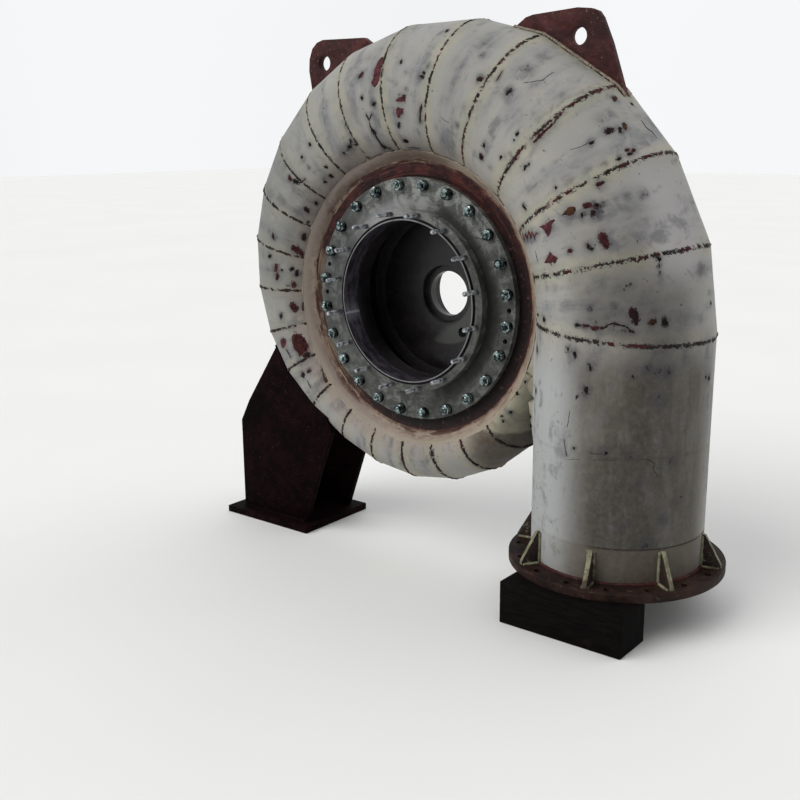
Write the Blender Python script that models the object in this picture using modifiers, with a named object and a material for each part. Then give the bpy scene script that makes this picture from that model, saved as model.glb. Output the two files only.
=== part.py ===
"""Spiral casing of a small horizontal Francis turbine, as a shop-built steel weldment.

Metres, +Z up. The turbine axis runs along Y and the draft-tube side faces -Y.
The scroll runs over the top from the vertical inlet pipe at +X and closes against it.
"""

import math

import bmesh
import bpy
from mathutils import Matrix, Vector

# Where the turbine axis and the front bolting face lie in the part's own frame
AXIS_AT = Vector((-0.0660, -0.1390, 0.9150))

# Clearance kept between neighbouring solids
GAP = 0.0003

# Scroll: mid-plane, half width at the stay ring, and how its section grows
Y_MID = 0.139
HALF_WIDTH = 0.151
R_SCROLL = 0.4825
RHO_INLET = 0.265
THETA_INLET = 93.0
WRAP_DEG = 356.0
PLATE = 0.012
SECTION_STEPS = 24

# Seam angles of the scroll, clockwise from the top as seen from the draft-tube side
SEAMS = (93.0, 76.8, 59.7, 44.5, 26.5, 11.5, -4.5, -20.0, -33.5, -48.5, -62.5, -76.5,
         -90.5, -104.5, -118.0, -132.5, -147.0, -161.5, -176.0, -190.5, -205.0, -219.5,
         -248.0)

# Stay ring
R_RING_IN = 0.300
R_RING_FACE = 0.446
Y_RING_FACE = 0.0253
PASSAGE_HALF = 0.041
ROUND_STEPS = 64
VANES = 10

# Front cover with the raised draft-tube collar
R_COVER = 0.398
COVER_THICK = 0.025
R_COLLAR = 0.3005
R_BORE = 0.2625
COLLAR_RISE = 0.037
LIP_RISE = 0.004
R_BOLTS = 0.375
JACK_HOLE_R = 0.008
JACK_HOLE_AT = (90.0, 105.0, -75.0, -90.0)

# Back cover with the shaft bore
Y_HUB_BACK = 0.300
R_SEAL = 0.097
R_SHAFT = 0.0765
R_HUB = 0.150
PORT_HOLE = (0.075, -0.125, 0.017)

# Inlet
X_PIPE = 0.697
Z_PIPE_JOINT = -0.370
Z_NECK_JOINT = -0.645
Z_FLANGE_TOP = -0.754
FLANGE_THICK = 0.026
R_FLANGE = 0.335
R_FLANGE_HOLES = 0.304
FLANGE_HOLE_R = 0.0105
FLANGE_HOLES = 16
GUSSETS = 8
GUSSET_THICK = 0.014
GUSSET_FIRST = 11.25

# Lifting lugs, feet and packing
LUG_THICK = 0.025
Z_FLOOR = -0.915
WEB_THICK = 0.020
BASE_THICK = 0.025


def clear_scene():
    for obj in list(bpy.data.objects):
        bpy.data.objects.remove(obj, do_unlink=True)


def new_collection(name, shown=True):
    collection = bpy.data.collections.new(name)
    bpy.context.scene.collection.children.link(collection)
    collection.hide_render = not shown
    return collection


def principled(name, colour, metallic, roughness):
    material = bpy.data.materials.new(name)
    material.use_nodes = True
    node = material.node_tree.nodes["Principled BSDF"]
    node.inputs["Base Color"].default_value = (*colour, 1.0)
    node.inputs["Metallic"].default_value = metallic
    node.inputs["Roughness"].default_value = roughness
    return material


clear_scene()
CASING = new_collection("spiral_casing")
CUTTERS = new_collection("cutters", shown=False)

FILLER = ("sanded_filler", (0.62, 0.62, 0.55), 0.0, 0.7)
PRIMER = ("red_oxide_primer", (0.16, 0.045, 0.035), 0.0, 0.65)
MACHINED = ("machined_steel", (0.33, 0.34, 0.34), 0.8, 0.4)
DARK = ("dark_packing", (0.02, 0.02, 0.022), 0.0, 0.8)


def add_object(name, mesh, look):
    """A shown object with its own material, or a hidden helper where look is None."""
    obj = bpy.data.objects.new(name, mesh)
    if look is None:
        CUTTERS.objects.link(obj)
        obj.hide_render = True
        obj.display_type = "WIRE"
        return obj
    CASING.objects.link(obj)
    mesh.materials.clear()
    mesh.materials.append(principled(name, *look[1:]))
    return obj


def mesh_of(name, points, faces):
    """A mesh with its faces turned outwards."""
    mesh = bpy.data.meshes.new(name)
    mesh.from_pydata([tuple(p) for p in points], [], faces)
    work = bmesh.new()
    work.from_mesh(mesh)
    bmesh.ops.recalc_face_normals(work, faces=work.faces)
    work.to_mesh(mesh)
    work.free()
    return mesh


def turned(name, profile, look, steps=ROUND_STEPS):
    """A ring turned about the turbine axis from a closed profile of radius and depth."""
    mesh = bpy.data.meshes.new(name + "_profile")
    count = len(profile)
    points = [(r, y, 0.0) for r, y in profile]
    mesh.from_pydata(points, [(i, (i + 1) % count) for i in range(count)], [])
    helper = bpy.data.objects.new(name + "_profile", mesh)
    CUTTERS.objects.link(helper)
    screw = helper.modifiers.new("turn", "SCREW")
    screw.axis = "Y"
    screw.steps = steps
    screw.render_steps = steps
    screw.use_merge_vertices = True
    screw.merge_threshold = 0.0001
    bpy.context.view_layer.update()
    graph = bpy.context.evaluated_depsgraph_get()
    solid = bpy.data.meshes.new_from_object(helper.evaluated_get(graph))
    bpy.data.objects.remove(helper, do_unlink=True)
    work = bmesh.new()
    work.from_mesh(solid)
    bmesh.ops.remove_doubles(work, verts=work.verts, dist=0.00001)
    bmesh.ops.recalc_face_normals(work, faces=work.faces)
    work.to_mesh(solid)
    work.free()
    return add_object(name, solid, look)


def prism(name, outline, across, low, high, look):
    """A flat plate: the outline lies across the named axis, between low and high."""
    count = len(outline)
    if across == "Y":
        points = [(a, low, b) for a, b in outline] + [(a, high, b) for a, b in outline]
    else:
        points = [(a, b, low) for a, b in outline] + [(a, b, high) for a, b in outline]
    faces = [tuple(range(count)), tuple(range(2 * count - 1, count - 1, -1))]
    for i in range(count):
        j = (i + 1) % count
        faces.append((i, count + i, count + j, j))
    return add_object(name, mesh_of(name, points, faces), look)


def block(name, low, high, look):
    outline = [(low[0], low[1]), (high[0], low[1]), (high[0], high[1]), (low[0], high[1])]
    return prism(name, outline, "Z", low[2], high[2], look)


def tube(name, centre, r_out, r_in, low, high, look, steps=48):
    """A round tube along Z, or a solid rod where r_in is None."""
    points = []
    faces = []
    for radius in (r_out, r_in):
        for z in (low, high):
            for i in range(steps):
                a = 2 * math.pi * i / steps
                if radius is not None:
                    points.append((centre[0] + radius * math.cos(a),
                                   centre[1] + radius * math.sin(a), z))
    for i in range(steps):
        j = (i + 1) % steps
        faces.append((i, j, steps + j, steps + i))
        if r_in is not None:
            faces.append((2 * steps + i, 3 * steps + i, 3 * steps + j, 2 * steps + j))
            faces.append((i, 2 * steps + i, 2 * steps + j, j))
            faces.append((steps + i, steps + j, 3 * steps + j, 3 * steps + i))
    if r_in is None:
        faces.append(tuple(range(steps - 1, -1, -1)))
        faces.append(tuple(range(steps, 2 * steps)))
    return add_object(name, mesh_of(name, points, faces), look)


def rods_along_y(name, places, low, high, steps=16):
    """One helper mesh of several rods along Y; places holds x, z and radius."""
    work = bmesh.new()
    for x, z, radius in places:
        turn = Matrix.Rotation(math.radians(90), 4, "X")
        move = Matrix.Translation((x, (low + high) / 2, z))
        bmesh.ops.create_cone(work, cap_ends=True, segments=steps, radius1=radius,
                              radius2=radius, depth=high - low, matrix=move @ turn)
    mesh = bpy.data.meshes.new(name)
    work.to_mesh(mesh)
    work.free()
    return add_object(name, mesh, None)


def boolean(obj, operation, other):
    modifier = obj.modifiers.new(operation.lower() + "_" + other.name, "BOOLEAN")
    modifier.operation = operation
    modifier.solver = "EXACT"
    modifier.object = other


def section_size(theta):
    """Half width along the radius, half width along Y, and centre radius of the scroll."""
    rho = RHO_INLET * math.sqrt((theta - THETA_INLET + WRAP_DEG) / WRAP_DEG)
    across = max(rho, 1.03 * HALF_WIDTH)
    centre = R_SCROLL + rho * math.sqrt(1 - (HALF_WIDTH / across) ** 2)
    return rho, across, centre


def radial_point(theta, radius, y):
    angle = math.radians(theta)
    return Vector((radius * math.sin(angle), y, radius * math.cos(angle)))


def section_arc(theta, inset, seam_shift=0.0, extra=0.012):
    """Points round the open side of the scroll's section, from front edge to back edge."""
    rho, across, centre = section_size(theta)
    open_angle = math.asin(HALF_WIDTH / across) - extra / rho
    start = math.pi - open_angle
    points = []
    for i in range(SECTION_STEPS + 1):
        t = -start + 2 * start * i / SECTION_STEPS
        radius = centre + (rho - inset) * math.cos(t)
        y = Y_MID + (across - inset) * math.sin(t)
        points.append(radial_point(theta + seam_shift, radius, y))
    return points


def gore(name, theta_a, theta_b):
    """One rolled plate of the scroll, straight between its two seam planes."""
    shift = math.degrees(0.5 * GAP / R_SCROLL)
    rings = []
    for theta, turn in ((theta_a, -shift), (theta_b, shift)):
        rings.append(section_arc(theta, 0.0, turn))
        rings.append(section_arc(theta, PLATE, turn))
    count = SECTION_STEPS + 1
    points = [p for ring in rings for p in ring]
    outer_a, inner_a, outer_b, inner_b = (k * count for k in range(4))
    faces = []
    for i in range(SECTION_STEPS):
        faces.append((outer_a + i, outer_a + i + 1, outer_b + i + 1))
        faces.append((outer_a + i, outer_b + i + 1, outer_b + i))
        faces.append((inner_a + i, inner_b + i + 1, inner_a + i + 1))
        faces.append((inner_a + i, inner_b + i, inner_b + i + 1))
        faces.append((outer_a + i, inner_a + i, inner_a + i + 1, outer_a + i + 1))
        faces.append((outer_b + i, outer_b + i + 1, inner_b + i + 1, inner_b + i))
    for i in (0, SECTION_STEPS):
        faces.append((outer_a + i, outer_b + i, inner_b + i, inner_a + i))
    return add_object(name, mesh_of(name, points, faces), FILLER)


def scroll_envelope(name, theta_a, theta_b):
    """A closed solid a little larger than the scroll, for trimming plates to its skin."""
    thetas = [t for t in SEAMS if theta_b <= t <= theta_a]
    rings = [section_arc(t, -GAP) for t in thetas]
    count = SECTION_STEPS + 1
    points = [p for ring in rings for p in ring]
    faces = [tuple(range(count))]
    faces.append(tuple(range(count * len(rings) - 1, count * (len(rings) - 1) - 1, -1)))
    for k in range(len(rings) - 1):
        near, far = k * count, (k + 1) * count
        for i in range(count):
            j = (i + 1) % count
            faces.append((near + i, near + j, far + j))
            faces.append((near + i, far + j, far + i))
    return add_object(name, mesh_of(name, points, faces), None)


def crest(theta, clear):
    """The outermost line of the scroll at this angle, straight from seam to seam."""
    for a, b in zip(SEAMS, SEAMS[1:]):
        if b <= theta <= a:
            break
    ends = []
    for t in (a, b):
        rho, _, centre = section_size(t)
        ends.append(radial_point(t, centre + rho + clear, 0.0))
    beam = Vector((math.sin(math.radians(theta)), 0.0, math.cos(math.radians(theta))))
    along = ends[1] - ends[0]
    share = (ends[0].x * beam.z - ends[0].z * beam.x) / (along.z * beam.x - along.x * beam.z)
    point = ends[0] + share * along
    return (point.x, point.z)


# Cutters shared by the scroll plates
ring_cutter = turned("ring_cutter", [(0.150, -0.300), (R_SCROLL, -0.300), (R_SCROLL, 0.600),
                                     (0.150, 0.600)], None)
pipe_cutter = tube("pipe_cutter", (X_PIPE, Y_MID), RHO_INLET + GAP, None, -0.900, 0.100,
                   None)

# Scroll plates
for number, (theta_a, theta_b) in enumerate(zip(SEAMS, SEAMS[1:]), start=1):
    last = number == len(SEAMS) - 1
    plate = gore("scroll_nose" if last else f"scroll_plate_{number:02d}", theta_a, theta_b)
    boolean(plate, "DIFFERENCE", ring_cutter)
    if last:
        boolean(plate, "DIFFERENCE", pipe_cutter)

# Inlet pipe: the upper length opens into the stay ring, the lower one is plain
inlet_top = tube("inlet_transition", (X_PIPE, Y_MID), RHO_INLET, RHO_INLET - PLATE,
                 Z_PIPE_JOINT + GAP, 0.050, FILLER)
slope = math.tan(math.radians(THETA_INLET - 90.0))
above_seam = [(0.200, -0.200 * slope - GAP), (1.200, -1.200 * slope - GAP), (1.200, 0.200),
              (0.200, 0.200)]
seam_cutter = prism("seam_cutter", above_seam, "Y", -0.300, 0.600, None)
boolean(inlet_top, "DIFFERENCE", seam_cutter)
boolean(inlet_top, "DIFFERENCE", ring_cutter)
tube("inlet_pipe", (X_PIPE, Y_MID), RHO_INLET, RHO_INLET - PLATE, Z_NECK_JOINT + GAP,
     Z_PIPE_JOINT, FILLER)
tube("inlet_neck", (X_PIPE, Y_MID), RHO_INLET, RHO_INLET - PLATE, Z_FLANGE_TOP + GAP,
     Z_NECK_JOINT, FILLER)

# Inlet flange with its ring of bolt holes
flange = tube("inlet_flange", (X_PIPE, Y_MID), R_FLANGE, RHO_INLET - PLATE,
              Z_FLANGE_TOP - FLANGE_THICK, Z_FLANGE_TOP, PRIMER)
drill = bmesh.new()
for k in range(FLANGE_HOLES):
    angle = 2 * math.pi * k / FLANGE_HOLES
    at = (X_PIPE + R_FLANGE_HOLES * math.cos(angle), Y_MID + R_FLANGE_HOLES * math.sin(angle),
          Z_FLANGE_TOP - FLANGE_THICK / 2)
    bmesh.ops.create_cone(drill, cap_ends=True, segments=12, radius1=FLANGE_HOLE_R,
                          radius2=FLANGE_HOLE_R, depth=FLANGE_THICK + 0.02,
                          matrix=Matrix.Translation(at))
drill_mesh = bpy.data.meshes.new("flange_holes")
drill.to_mesh(drill_mesh)
drill.free()
boolean(flange, "DIFFERENCE", add_object("flange_holes", drill_mesh, None))

# Gussets between the neck and the flange
foot = RHO_INLET + GAP
for k in range(GUSSETS):
    outline = [(foot, Z_FLANGE_TOP + GAP), (0.326, Z_FLANGE_TOP + GAP), (0.326, -0.742),
               (foot + 0.010, -0.652), (foot, -0.652)]
    rib = prism(f"inlet_gusset_{k + 1}", outline, "Y", -GUSSET_THICK / 2, GUSSET_THICK / 2,
                FILLER)
    angle = math.radians(GUSSET_FIRST + 360.0 * k / GUSSETS)
    place = Matrix.Translation((X_PIPE, Y_MID, 0.0)) @ Matrix.Rotation(angle, 4, "Z")
    rib.data.transform(place)

# Stay ring: two flanged rings joined by stay vanes in the water passage
y_front = Y_MID - PASSAGE_HALF
rim = Y_MID - HALF_WIDTH
profile = [(R_RING_IN, Y_RING_FACE), (R_RING_FACE, Y_RING_FACE), (R_SCROLL - GAP, rim),
           (R_SCROLL - GAP, 0.040), (0.460, 0.080), (0.425, y_front), (R_RING_IN, y_front)]
stay_ring = turned("stay_ring", profile, PRIMER)
back_ring = turned("back_ring", [(r, 2 * Y_MID - y) for r, y in profile], None)
boolean(stay_ring, "UNION", back_ring)
vane_work = bmesh.new()
for k in range(VANES):
    length = 0.075
    thick = 0.016
    shape = [(-length / 2, 0.0), (-length / 4, thick / 2), (length / 8, thick / 2),
             (length / 2, 0.0), (length / 8, -thick / 2), (-length / 4, -thick / 2)]
    turn = Matrix.Rotation(math.radians(360.0 * (k + 0.5) / VANES), 4, "Y")
    lean = Matrix.Rotation(math.radians(38.0), 4, "Y")
    spot = turn @ Matrix.Translation((0.385, 0.0, 0.0)) @ lean
    ends = []
    for y in (y_front - 0.012, 2 * Y_MID - y_front + 0.012):
        ends.append([vane_work.verts.new(spot @ Vector((a, y, b))) for a, b in shape])
    vane_work.faces.new(ends[0])
    vane_work.faces.new(ends[1][::-1])
    for i in range(6):
        j = (i + 1) % 6
        vane_work.faces.new((ends[0][i], ends[1][i], ends[1][j], ends[0][j]))
bmesh.ops.recalc_face_normals(vane_work, faces=vane_work.faces)
vane_mesh = bpy.data.meshes.new("stay_vanes")
vane_work.to_mesh(vane_mesh)
vane_work.free()
boolean(stay_ring, "UNION", add_object("stay_vanes", vane_mesh, None))

# Front cover: bolted disc, throat sleeve and raised collar with a register lip
y_cover = Y_RING_FACE - GAP - COVER_THICK
front_cover = turned("front_cover", [
    (R_BORE, y_cover - COLLAR_RISE - LIP_RISE), (R_BORE + 0.005, y_cover - COLLAR_RISE - LIP_RISE),
    (R_BORE + 0.005, y_cover - COLLAR_RISE), (R_COLLAR, y_cover - COLLAR_RISE),
    (R_COLLAR, y_cover), (R_COVER, y_cover), (R_COVER, y_cover + COVER_THICK),
    (R_RING_IN - 0.0005, y_cover + COVER_THICK), (R_RING_IN - 0.0005, y_front),
    (R_BORE, y_front)], MACHINED)
jack_places = []
for theta in JACK_HOLE_AT:
    spot = radial_point(theta, R_BOLTS, 0.0)
    jack_places.append((spot.x, spot.z, JACK_HOLE_R))
boolean(front_cover, "DIFFERENCE", rods_along_y("jack_holes", jack_places, -0.020, 0.024))

# Back cover: spigot in the stay ring, bolted rim, and a hub with the stepped shaft bore
y_back = 2 * Y_MID - y_front
y_seat = 2 * Y_MID - Y_RING_FACE + GAP
back_cover = turned("back_cover", [
    (R_SEAL, y_back), (R_RING_IN - 0.0005, y_back), (R_RING_IN - 0.0005, y_seat),
    (R_COVER, y_seat), (R_COVER, y_seat + COVER_THICK), (R_HUB + 0.03, y_seat + COVER_THICK),
    (R_HUB, Y_HUB_BACK), (R_SHAFT + 0.030, Y_HUB_BACK), (R_SHAFT + 0.030, 0.235),
    (R_SHAFT, 0.235), (R_SHAFT, 0.205), (R_SEAL, 0.205)], MACHINED)
boolean(back_cover, "DIFFERENCE", rods_along_y("port_hole", [PORT_HOLE], 0.100, 0.340))

# Lifting lugs on the crest
right_lug = [(0.335, 0.866), (0.360, 0.872), (0.509, 0.881), (0.553, 0.876), (0.575, 0.867),
             (0.589, 0.849), (0.621, 0.777)]
right_lug += [crest(t, GAP) for t in (46.8, 44.5, 35.0, 26.5, 19.5)]
left_lug = [(-0.300, 0.847), (-0.485, 0.851), (-0.513, 0.843), (-0.535, 0.824),
            (-0.549, 0.790), (-0.552, 0.750)]
left_lug += [crest(t, GAP) for t in (-39.8, -33.5, -26.0, -20.0, -17.5)]
for side, outline, eye in (("right", right_lug, (0.517, 0.802)), ("left", left_lug, (-0.478, 0.773))):
    lug = prism(f"lifting_lug_{side}", outline, "Y", Y_MID - LUG_THICK / 2,
                Y_MID + LUG_THICK / 2, PRIMER)
    eye_cutter = rods_along_y(f"eye_{side}", [(*eye, 0.0255)], 0.100, 0.180, 24)
    boolean(lug, "DIFFERENCE", eye_cutter)

# Left foot: two webs trimmed to the scroll, a side plate between them and a base plate
skin = scroll_envelope("scroll_skin", -76.5, -176.0)
base_top = Z_FLOOR + BASE_THICK
for side, low in (("front", 0.010), ("rear", 0.248)):
    outline = [(-0.600, -0.150), (-0.655, -0.239), (-0.805, -0.457), (-0.850, -0.540),
               (-0.850, base_top + GAP), (-0.520, base_top + GAP), (-0.430, -0.640),
               (-0.380, -0.520), (-0.450, -0.350)]
    web = prism(f"foot_web_{side}", outline, "Y", low, low + WEB_THICK, PRIMER)
    boolean(web, "DIFFERENCE", skin)
block("foot_side_plate", (-0.850, 0.030 + GAP, base_top + GAP), (-0.830, 0.248 - GAP, -0.560),
      PRIMER)
block("foot_base_plate", (-0.900, -0.035, Z_FLOOR), (-0.480, 0.313, base_top), PRIMER)

# Packing blocks that carry the inlet flange
under_flange = Z_FLANGE_TOP - FLANGE_THICK - GAP
block("packing_block_front", (0.500, -0.225, Z_FLOOR), (0.905, -0.075, under_flange), DARK)
block("packing_block_rear", (0.500, 0.353, Z_FLOOR), (0.840, 0.503, under_flange), DARK)

# Move everything from the turbine's frame to the part's own frame
for obj in bpy.data.objects:
    obj.data.transform(Matrix.Translation(AXIS_AT))
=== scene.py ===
# %% [markdown]
# # Dressing a turbine's spiral casing
# The real object is a steel casing for a small Francis turbine, stood upright on its inlet
# flange and one foot. Rolled plates make a snail shell round a stay ring, filler smooths the
# joints, and nothing has its top coat yet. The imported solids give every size. This lesson
# builds the finer surfaces over them: seams, threads, nuts, brushed filler and bare primer.
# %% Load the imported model
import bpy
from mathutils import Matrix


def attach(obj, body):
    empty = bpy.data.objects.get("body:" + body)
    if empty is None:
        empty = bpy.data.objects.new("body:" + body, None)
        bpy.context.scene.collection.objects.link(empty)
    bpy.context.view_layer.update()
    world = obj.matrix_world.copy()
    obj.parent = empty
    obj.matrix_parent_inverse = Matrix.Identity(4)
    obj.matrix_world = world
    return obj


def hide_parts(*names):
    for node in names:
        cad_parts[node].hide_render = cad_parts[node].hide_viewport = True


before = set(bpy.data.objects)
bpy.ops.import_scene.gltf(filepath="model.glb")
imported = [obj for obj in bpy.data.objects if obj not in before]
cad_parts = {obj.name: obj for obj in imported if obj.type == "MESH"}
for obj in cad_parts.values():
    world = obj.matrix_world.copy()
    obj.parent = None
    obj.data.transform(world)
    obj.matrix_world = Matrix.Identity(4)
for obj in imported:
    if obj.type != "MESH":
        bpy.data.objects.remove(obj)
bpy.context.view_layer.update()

# %% Libraries
import math
import bmesh
import bpy
import numpy as np
from mathutils import Matrix, Vector
from mathutils.bvhtree import BVHTree

# %% [markdown]
# ## Where everything is
# The turbine's axis lies along Y, and the shell is drawn in polar form about it. Angles run
# clockwise from the top, as somebody who faces the front cover sees them. Lengths are in
# metres and angles in degrees. The numbers are the ones that the solids were built from,
# so both models share one skeleton.
# %% Sizes of the casing
AXIS = Vector((-0.0660, -0.1390, 0.9150))
Y_MID = 0.139
HALF_WIDTH = 0.151
R_SCROLL = 0.4825
RHO_INLET = 0.265
THETA_INLET = 93.0
WRAP = 356.0
PLATE = 0.012
CLEARANCE = 0.0003
SEAMS = (93.0, 76.8, 59.7, 44.5, 26.5, 11.5, -4.5, -20.0, -33.5, -48.5, -62.5, -76.5,
         -90.5, -104.5, -118.0, -132.5, -147.0, -161.5, -176.0, -190.5, -205.0, -219.5,
         -248.0)
X_PIPE = 0.697
Z_JOINT = -0.370
Z_NECK = -0.645
Z_FLANGE = -0.754
print("plates in the scroll:", len(SEAMS) - 1)


def at(x, y, z):
    """A point of the turbine's own frame, moved to the part's frame."""
    return AXIS + Vector((x, y, z))


def polar(theta, radius, y):
    """A point at an angle round the axis, a distance from it and a depth."""
    angle = math.radians(theta)
    return at(radius * math.sin(angle), y, radius * math.cos(angle))


def section(theta):
    """Radius of the shell's section, its half width along Y, and where its centre is."""
    # The narrow end can't be slimmer than the ring it closes on, so it turns oval there.
    rho = RHO_INLET * math.sqrt((theta - THETA_INLET + WRAP) / WRAP)
    across = max(rho, 1.03 * HALF_WIDTH)
    centre = R_SCROLL + rho * math.sqrt(1 - (HALF_WIDTH / across) ** 2)
    return rho, across, centre


def on_shell(theta, t, lift=0.0):
    """A point on the shell: t is 0 on the crest and turns towards the back."""
    for a, b in zip(SEAMS, SEAMS[1:]):
        if b <= theta <= a:
            break
    ends = []
    for seam in (a, b):
        rho, across, centre = section(seam)
        radius = max(centre + (rho + lift) * math.cos(t), R_SCROLL + CLEARANCE)
        ends.append(polar(seam, radius, Y_MID + (across + lift) * math.sin(t)))
    # A plate is straight, so the point lies where the plane at this angle cuts its line.
    share = (a - theta) / (a - b)
    beam = Vector((math.sin(math.radians(theta)), 0, math.cos(math.radians(theta))))
    p, q = ends[0] - AXIS, ends[1] - AXIS
    top = p.x * beam.z - p.z * beam.x
    low = (q.z - p.z) * beam.x - (q.x - p.x) * beam.z
    if abs(low) > 1e-9:
        share = top / low
    return ends[0].lerp(ends[1], share)


# %% [markdown]
# ## The camera
# The photograph was taken from about eye height, to the right of the casing and looking a
# little down. Its focal length and place were found by lining up the casing's circles, so
# the camera is set from plain numbers and a pixel of the picture can be turned into a ray.
# %% Camera
EYE = Vector((2.0452, -2.8742, 1.4276))
TURNED, DOWN = 38.38, 13.80
ROLL = -0.008
FOCAL_PIXELS = 1058.74
PICTURE = 800
SENSOR = 36.0
look = (Matrix.Rotation(math.radians(TURNED), 4, "Z")
        @ Matrix.Rotation(math.radians(90 - DOWN), 4, "X")
        @ Matrix.Rotation(ROLL, 4, "Z"))
camera_data = bpy.data.cameras.new("camera")
camera_data.sensor_width = SENSOR
camera_data.lens = FOCAL_PIXELS * SENSOR / PICTURE
camera = bpy.data.objects.new("camera", camera_data)
camera.matrix_world = Matrix.Translation(EYE) @ look
bpy.context.scene.collection.objects.link(camera)
bpy.context.scene.camera = camera
print("lens in mm:", round(camera_data.lens, 2))


def sight(px, py):
    """Direction from the camera through a pixel of the 800 by 800 picture."""
    half = PICTURE / 2
    ray = Vector(((px - half) / FOCAL_PIXELS, (half - py) / FOCAL_PIXELS, -1.0))
    return (look.to_3x3() @ ray).normalized()


# %% [markdown]
# ## Writing node trees as sums
# Shader and geometry trees are built from many small sums. Python lets a class say what
# plus and times mean, so one class holds a socket and adds the right node for each sign.
# Every other node comes from one method that takes its type, settings and inputs.
# %% Sockets that can be added and multiplied
class Wire:
    """A socket of a node tree. Arithmetic on it adds Math nodes."""

    def __init__(self, tree, socket=None):
        self.tree = tree
        self.socket = socket

    def node(self, kind, settings=None, inputs=None, out=0):
        """Adds a node: its settings first, then a value or a link for each named input."""
        made = self.tree.nodes.new(kind)
        for name, value in (settings or {}).items():
            setattr(made, name, value)
        for key, value in (inputs or {}).items():
            if isinstance(value, Wire):
                self.tree.links.new(value.socket, made.inputs[key])
            else:
                made.inputs[key].default_value = value
        return Wire(self.tree, made.outputs[out] if len(made.outputs) else None)

    def maths(self, operation, *values):
        return self.node("ShaderNodeMath", {"operation": operation}, dict(enumerate(values)))

    def __add__(self, other):
        return self.maths("ADD", self, other)

    def __sub__(self, other):
        return self.maths("SUBTRACT", self, other)

    def __mul__(self, other):
        return self.maths("MULTIPLY", self, other)

    def __truediv__(self, other):
        return self.maths("DIVIDE", self, other)

    def __radd__(self, other):
        return self.maths("ADD", other, self)

    def __rsub__(self, other):
        return self.maths("SUBTRACT", other, self)

    def __rmul__(self, other):
        return self.maths("MULTIPLY", other, self)

    def __rtruediv__(self, other):
        return self.maths("DIVIDE", other, self)

    def ramp(self, low, high):
        """0 below low, 1 above high and smooth between, or falling where high is lower."""
        flip = low > high
        return self.node("ShaderNodeMapRange", {"interpolation_type": "SMOOTHSTEP"},
                         {0: self, 1: min(low, high), 2: max(low, high),
                          3: 1.0 if flip else 0.0, 4: 0.0 if flip else 1.0})

    def noise(self, scale, detail=3.0, rough=0.5, warp=0.0):
        """Noise on a vector socket."""
        return self.node("ShaderNodeTexNoise", None, {
            "Vector": self, "Scale": scale, "Detail": detail, "Roughness": rough,
            "Distortion": warp})

    def attribute(self, label):
        """A number that the mesh carries at its points or faces."""
        return self.node("ShaderNodeAttribute", {"attribute_name": label}, out="Fac")

    def mix(self, factor, first, second):
        """A colour between two others."""
        return self.node("ShaderNodeMix", {"data_type": "RGBA"},
                         {0: factor, 6: first, 7: second}, 2)

    def stretch(self, x, y, z):
        """A vector with its parts scaled, for grain that runs one way."""
        return self.node("ShaderNodeMapping", None, {"Vector": self, "Scale": (x, y, z)})

    def parts(self):
        """The x, y and z of a vector."""
        made = self.node("ShaderNodeSeparateXYZ", None, {0: self}).socket.node
        return [Wire(self.tree, output) for output in made.outputs]


def paint(red, green, blue):
    """An 8-bit screen colour as the linear colour that shaders work in."""
    linear = []
    for value in (red, green, blue):
        value /= 255
        linear.append(value / 12.92 if value <= 0.04045 else ((value + 0.055) / 1.055) ** 2.4)
    return (*linear, 1.0)


def finish(name, recipe, metallic=0.0, bump_depth=0.001, gloss=0.5):
    """A material whose recipe gives its colour, roughness, height and perhaps its metal."""
    material = bpy.data.materials.new(name)
    material.use_nodes = True
    material.node_tree.nodes.clear()
    pen = Wire(material.node_tree)
    place = pen.node("ShaderNodeTexCoord", out="Object")
    colour, roughness, height, *metal = recipe(pen, place)
    bump = pen.node("ShaderNodeBump", None,
                    {"Strength": 1.0, "Distance": bump_depth, "Height": height})
    shader = pen.node("ShaderNodeBsdfPrincipled", None, {
        "Base Color": colour, "Roughness": roughness, "Normal": bump,
        "Metallic": metal[0] if metal else metallic,
        "Specular IOR Level": gloss})
    pen.node("ShaderNodeOutputMaterial", None, {"Surface": shader})
    print("finish:", name, len(material.node_tree.nodes), "nodes")
    return material


print("a screen grey of 128 in linear light:", round(paint(128, 128, 128)[0], 3))

# %% [markdown]
# ## Sanded filler
# The plates are knifed over with grey polyester filler. It is thin and creamy beside the
# seams, bluish where it is thick, and rubbed through to darker patches. The mesh carries the
# distance to the nearest seam as an attribute, because seams are where the colour changes.
# The knife was drawn along each seam, so the noise is stretched that way: its coordinates
# are the angle round the turbine, the distance from the axis and the depth.
# %% Knife strokes
GAP_SCALE = 64.0
SPLIT = math.radians(78)


def knife_strokes(pen, place):
    """Noise in streaks along the seams of the scroll and down the inlet pipe."""
    x, y, z = place.parts()
    x, z = x - AXIS.x, z - AXIS.z
    # An angle jumps by a full turn somewhere: here it jumps in the gap behind the pipe.
    c, s = math.cos(SPLIT), math.sin(SPLIT)
    angle = pen.maths("ARCTAN2", x * c + z * s, z * c - x * s)
    radius = pen.maths("SQRT", x * x + z * z)
    round_axis = pen.node("ShaderNodeCombineXYZ", None,
                          {0: angle * 11, 1: radius * 3, 2: y * 4})
    down = place.stretch(16, 16, 3)
    a, b = x - X_PIPE, y - (AXIS.y + Y_MID)
    off = pen.maths("SQRT", a * a + b * b)
    on_pipe = z.ramp(0.02, -0.06) * off.ramp(RHO_INLET + 0.006, RHO_INLET + 0.002)
    streak = (round_axis.noise(1.0, 4, 0.6) * (1 - on_pipe)
              + down.noise(1.0, 4, 0.6) * on_pipe)
    return streak, on_pipe, x, y - AXIS.y, z


print("noise for breaks in the seam lines repeats about every", round(1000 / GAP_SCALE), "mm")

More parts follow.
